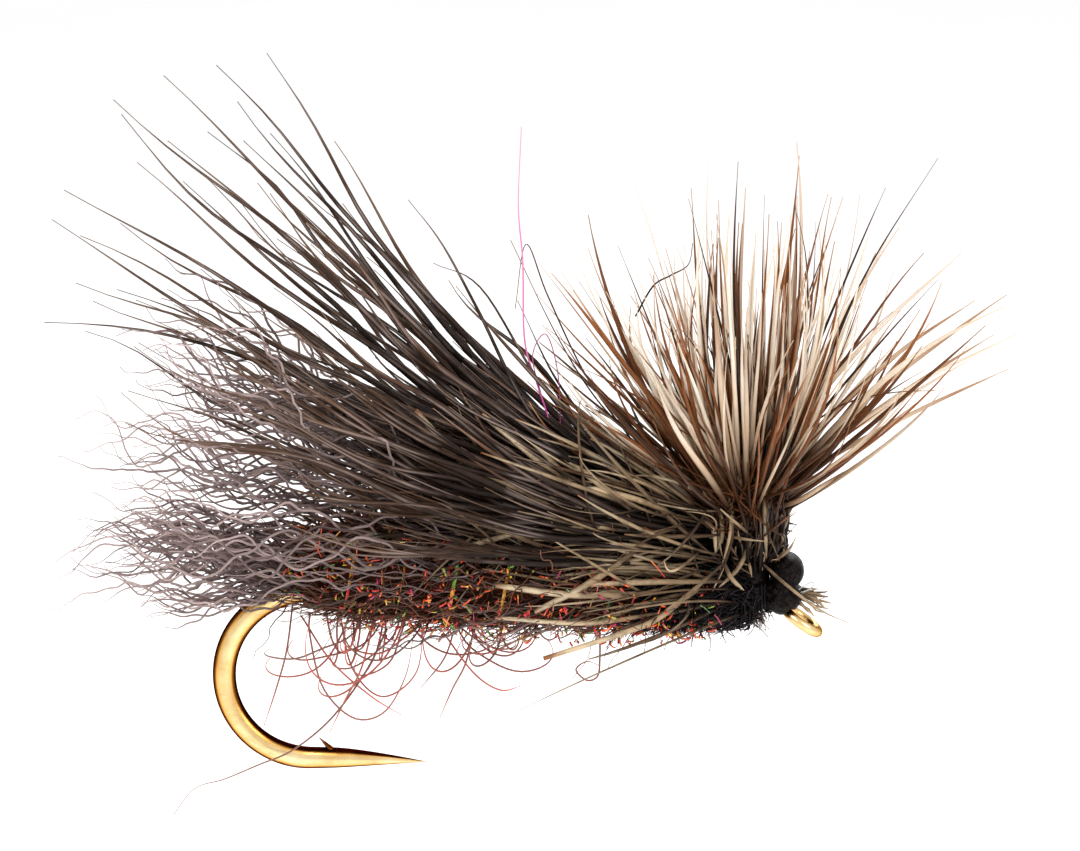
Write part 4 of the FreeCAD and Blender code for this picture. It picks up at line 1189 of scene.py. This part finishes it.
# ---- studio
def studio():
    """Camera, pale floor and soft light."""
    target, camera_rise, camera_reach = Vector((-6.08, 0.0, 4.627)), math.radians(12), 93.2
    scene = bpy.context.scene
    scene.view_settings.view_transform = "Standard"
    lens = bpy.data.cameras.new("camera")
    lens.lens, lens.sensor_width = 135, 36
    lens.clip_start, lens.clip_end = 0.005, 20
    camera = bpy.data.objects.new("camera", lens)
    back = Vector((0, -math.cos(camera_rise), math.sin(camera_rise)))
    camera.location = (target + back * camera_reach) * MM
    camera.rotation_euler = (-back).to_track_quat("-Z", "Y").to_euler()
    scene.collection.objects.link(camera)
    scene.camera = camera

    world = bpy.data.worlds.new("soft_white")
    world.use_nodes = True
    sky = world.node_tree.nodes["Background"]
    sky.inputs["Color"].default_value = (1, 1, 1, 1)
    sky.inputs["Strength"].default_value = 1.0
    scene.world = world

    half, height = 4, -0.06
    plate = bpy.data.meshes.new("floor")
    edges = ((-half, -half), (half, -half), (half, half), (-half, half))
    plate.from_pydata([(x, y, height) for x, y in edges], [], [(0, 1, 2, 3)])
    paper = Shader("pale_paper", 0.9, 0.0)
    paper.colour(paper.ramp(paper.noise(0.02), [(0.0, 250, 250, 250), (1.0, 254, 254, 254)]))
    plate.materials.append(paper.material)
    floor = bpy.data.objects.new("floor", plate)
    scene.collection.objects.link(floor)

    for name, place, size, power in (("key", (-120, -220, 260), 180, 0.55),
                                     ("fill", (200, -160, 120), 160, 0.25),
                                     ("back", (40, 260, 220), 220, 0.5)):
        lamp = bpy.data.lights.new(name, "AREA")
        lamp.shape, lamp.size, lamp.energy = "DISK", size * MM, power
        light = bpy.data.objects.new(name, lamp)
        light.location = Vector(place) * MM
        light.rotation_euler = (target * MM - light.location).to_track_quat("-Z", "Y").to_euler()
        scene.collection.objects.link(light)


def build():
    """The materials, each with its dark and its light run of colours, and every piece of the fly."""
    dark_hair = strand_material(
        "dark_hollow_hair",
        [(0, 8, 5, 4), (0.55, 20, 14, 12), (0.8, 36, 25, 19), (1, 72, 53, 41)],
        [(0, 18, 12, 9), (0.5, 60, 46, 40), (0.8, 94, 68, 53), (1, 136, 106, 84)],
        # edge: lighter streaks in patches along the hairs, a painted highlight.
        roughness=0.35, specular=0.12, edge=(0.7, (156, 138, 130)), shine=(1.0, 0.88, 0.8))
    pale_hair = strand_material(
        "pale_hair_butts",
        [(0, 22, 13, 8), (0.45, 56, 36, 23), (0.93, 82, 55, 35), (1, 110, 60, 28)],
        [(0, 54, 36, 24), (0.4, 166, 140, 108), (0.92, 196, 174, 140), (1, 150, 86, 40)],
        # edge: lighter streaks in patches along the hairs, a painted highlight.
        roughness=0.4, specular=0.2, mottle=0.7, edge=(0.5, (222, 208, 182)))
    brown_feather = strand_material(
        "brown_feather",
        [(0, 13, 8, 5), (0.5, 38, 21, 12), (0.85, 70, 39, 21), (1, 124, 84, 54)],
        [(0, 40, 20, 11), (0.35, 110, 62, 30), (0.85, 156, 92, 48), (1, 206, 160, 116)],
        roughness=0.35, specular=0.2, edge=(0.55, (30, 16, 9)))
    grizzly_feather = strand_material(
        "barred_feather",
        [(0, 36, 22, 14), (0.2, 74, 50, 33), (0.42, 166, 132, 100), (0.6, 196, 168, 138), (0.8, 140, 92, 56),
         (1, 180, 144, 110)],
        [(0, 44, 28, 18), (0.22, 92, 64, 43), (0.46, 228, 205, 176), (0.7, 255, 246, 230),
         (1, 238, 214, 184)],
        roughness=0.4, specular=0.3, mottle=0.08, edge=(0.75, (168, 112, 68)))
    crimped = strand_material(
        "crimped_fibre",
        [(0, 40, 30, 27), (0.6, 88, 71, 69), (1, 118, 97, 97)],
        [(0, 90, 72, 67), (0.6, 168, 147, 144), (1, 200, 178, 174)], roughness=0.4, specular=0.25)
    dark_fur = strand_material(
        "abdomen_fibre", [(0, 26, 13, 9), (1, 68, 38, 29)], [(0, 86, 50, 37), (1, 148, 106, 88)],
        roughness=0.5, specular=0.12)
    thorax_fur = strand_material(
        "thorax_fibre", [(0, 5, 4, 4), (1, 14, 12, 13)], [(0, 16, 13, 14), (1, 66, 60, 66)],
        roughness=0.5, specular=0.12)
    guard = strand_material(
        "guard_hair", [(0, 96, 60, 52), (1, 142, 108, 98)], [(0, 146, 60, 52), (1, 208, 116, 98)],
        roughness=0.4, mottle=0.2)
    pink = strand_material(
        "pink_film", [(0, 216, 60, 170), (1, 236, 150, 190)], [(0, 150, 70, 120), (1, 190, 120, 150)],
        roughness=0.3, mottle=0.1)
    flash = film_material("flash_film", [
        (0.0, 196, 30, 22), (0.24, 236, 80, 22), (0.5, 220, 34, 48), (0.62, 226, 148, 28),
        (0.72, 92, 150, 34), (0.79, 34, 96, 60), (0.84, 170, 30, 84), (0.95, 246, 214, 60)])
    waxed_thread = grained_material(
        "waxed_thread", [(0.3, 5, 4, 5), (0.6, 14, 12, 14), (0.8, 34, 31, 33)],
        roughness=0.45, specular=0.08, gloss=(0.3, 0.55), depth=0.012, scale=11.0, detail=3.0, distortion=0.6)
    cell_foam = grained_material(
        "black_cell_foam", [(0.3, 4, 3, 3), (0.5, 11, 8, 7), (0.72, 38, 28, 24)],
        roughness=0.3, specular=0.06, gloss=(0.24, 0.5), depth=0.02, scale=10.0, detail=5.0)
    threads(waxed_thread)
    hook_wire(wire_material())
    dubbed_bodies(dark_fur, thorax_fur)
    throat_fluff(crimped)
    sparkle(flash)
    guard_hairs(guard)
    crinkled_fibres(crimped)
    dark_wing(dark_hair)
    butts(pale_hair)
    post(dark_hair, pale_hair)
    hackle(brown_feather, grizzly_feather)
    fine_strays(pink, brown_feather)
    foam(cell_foam)
    snout(pale_hair)


studio()
build()
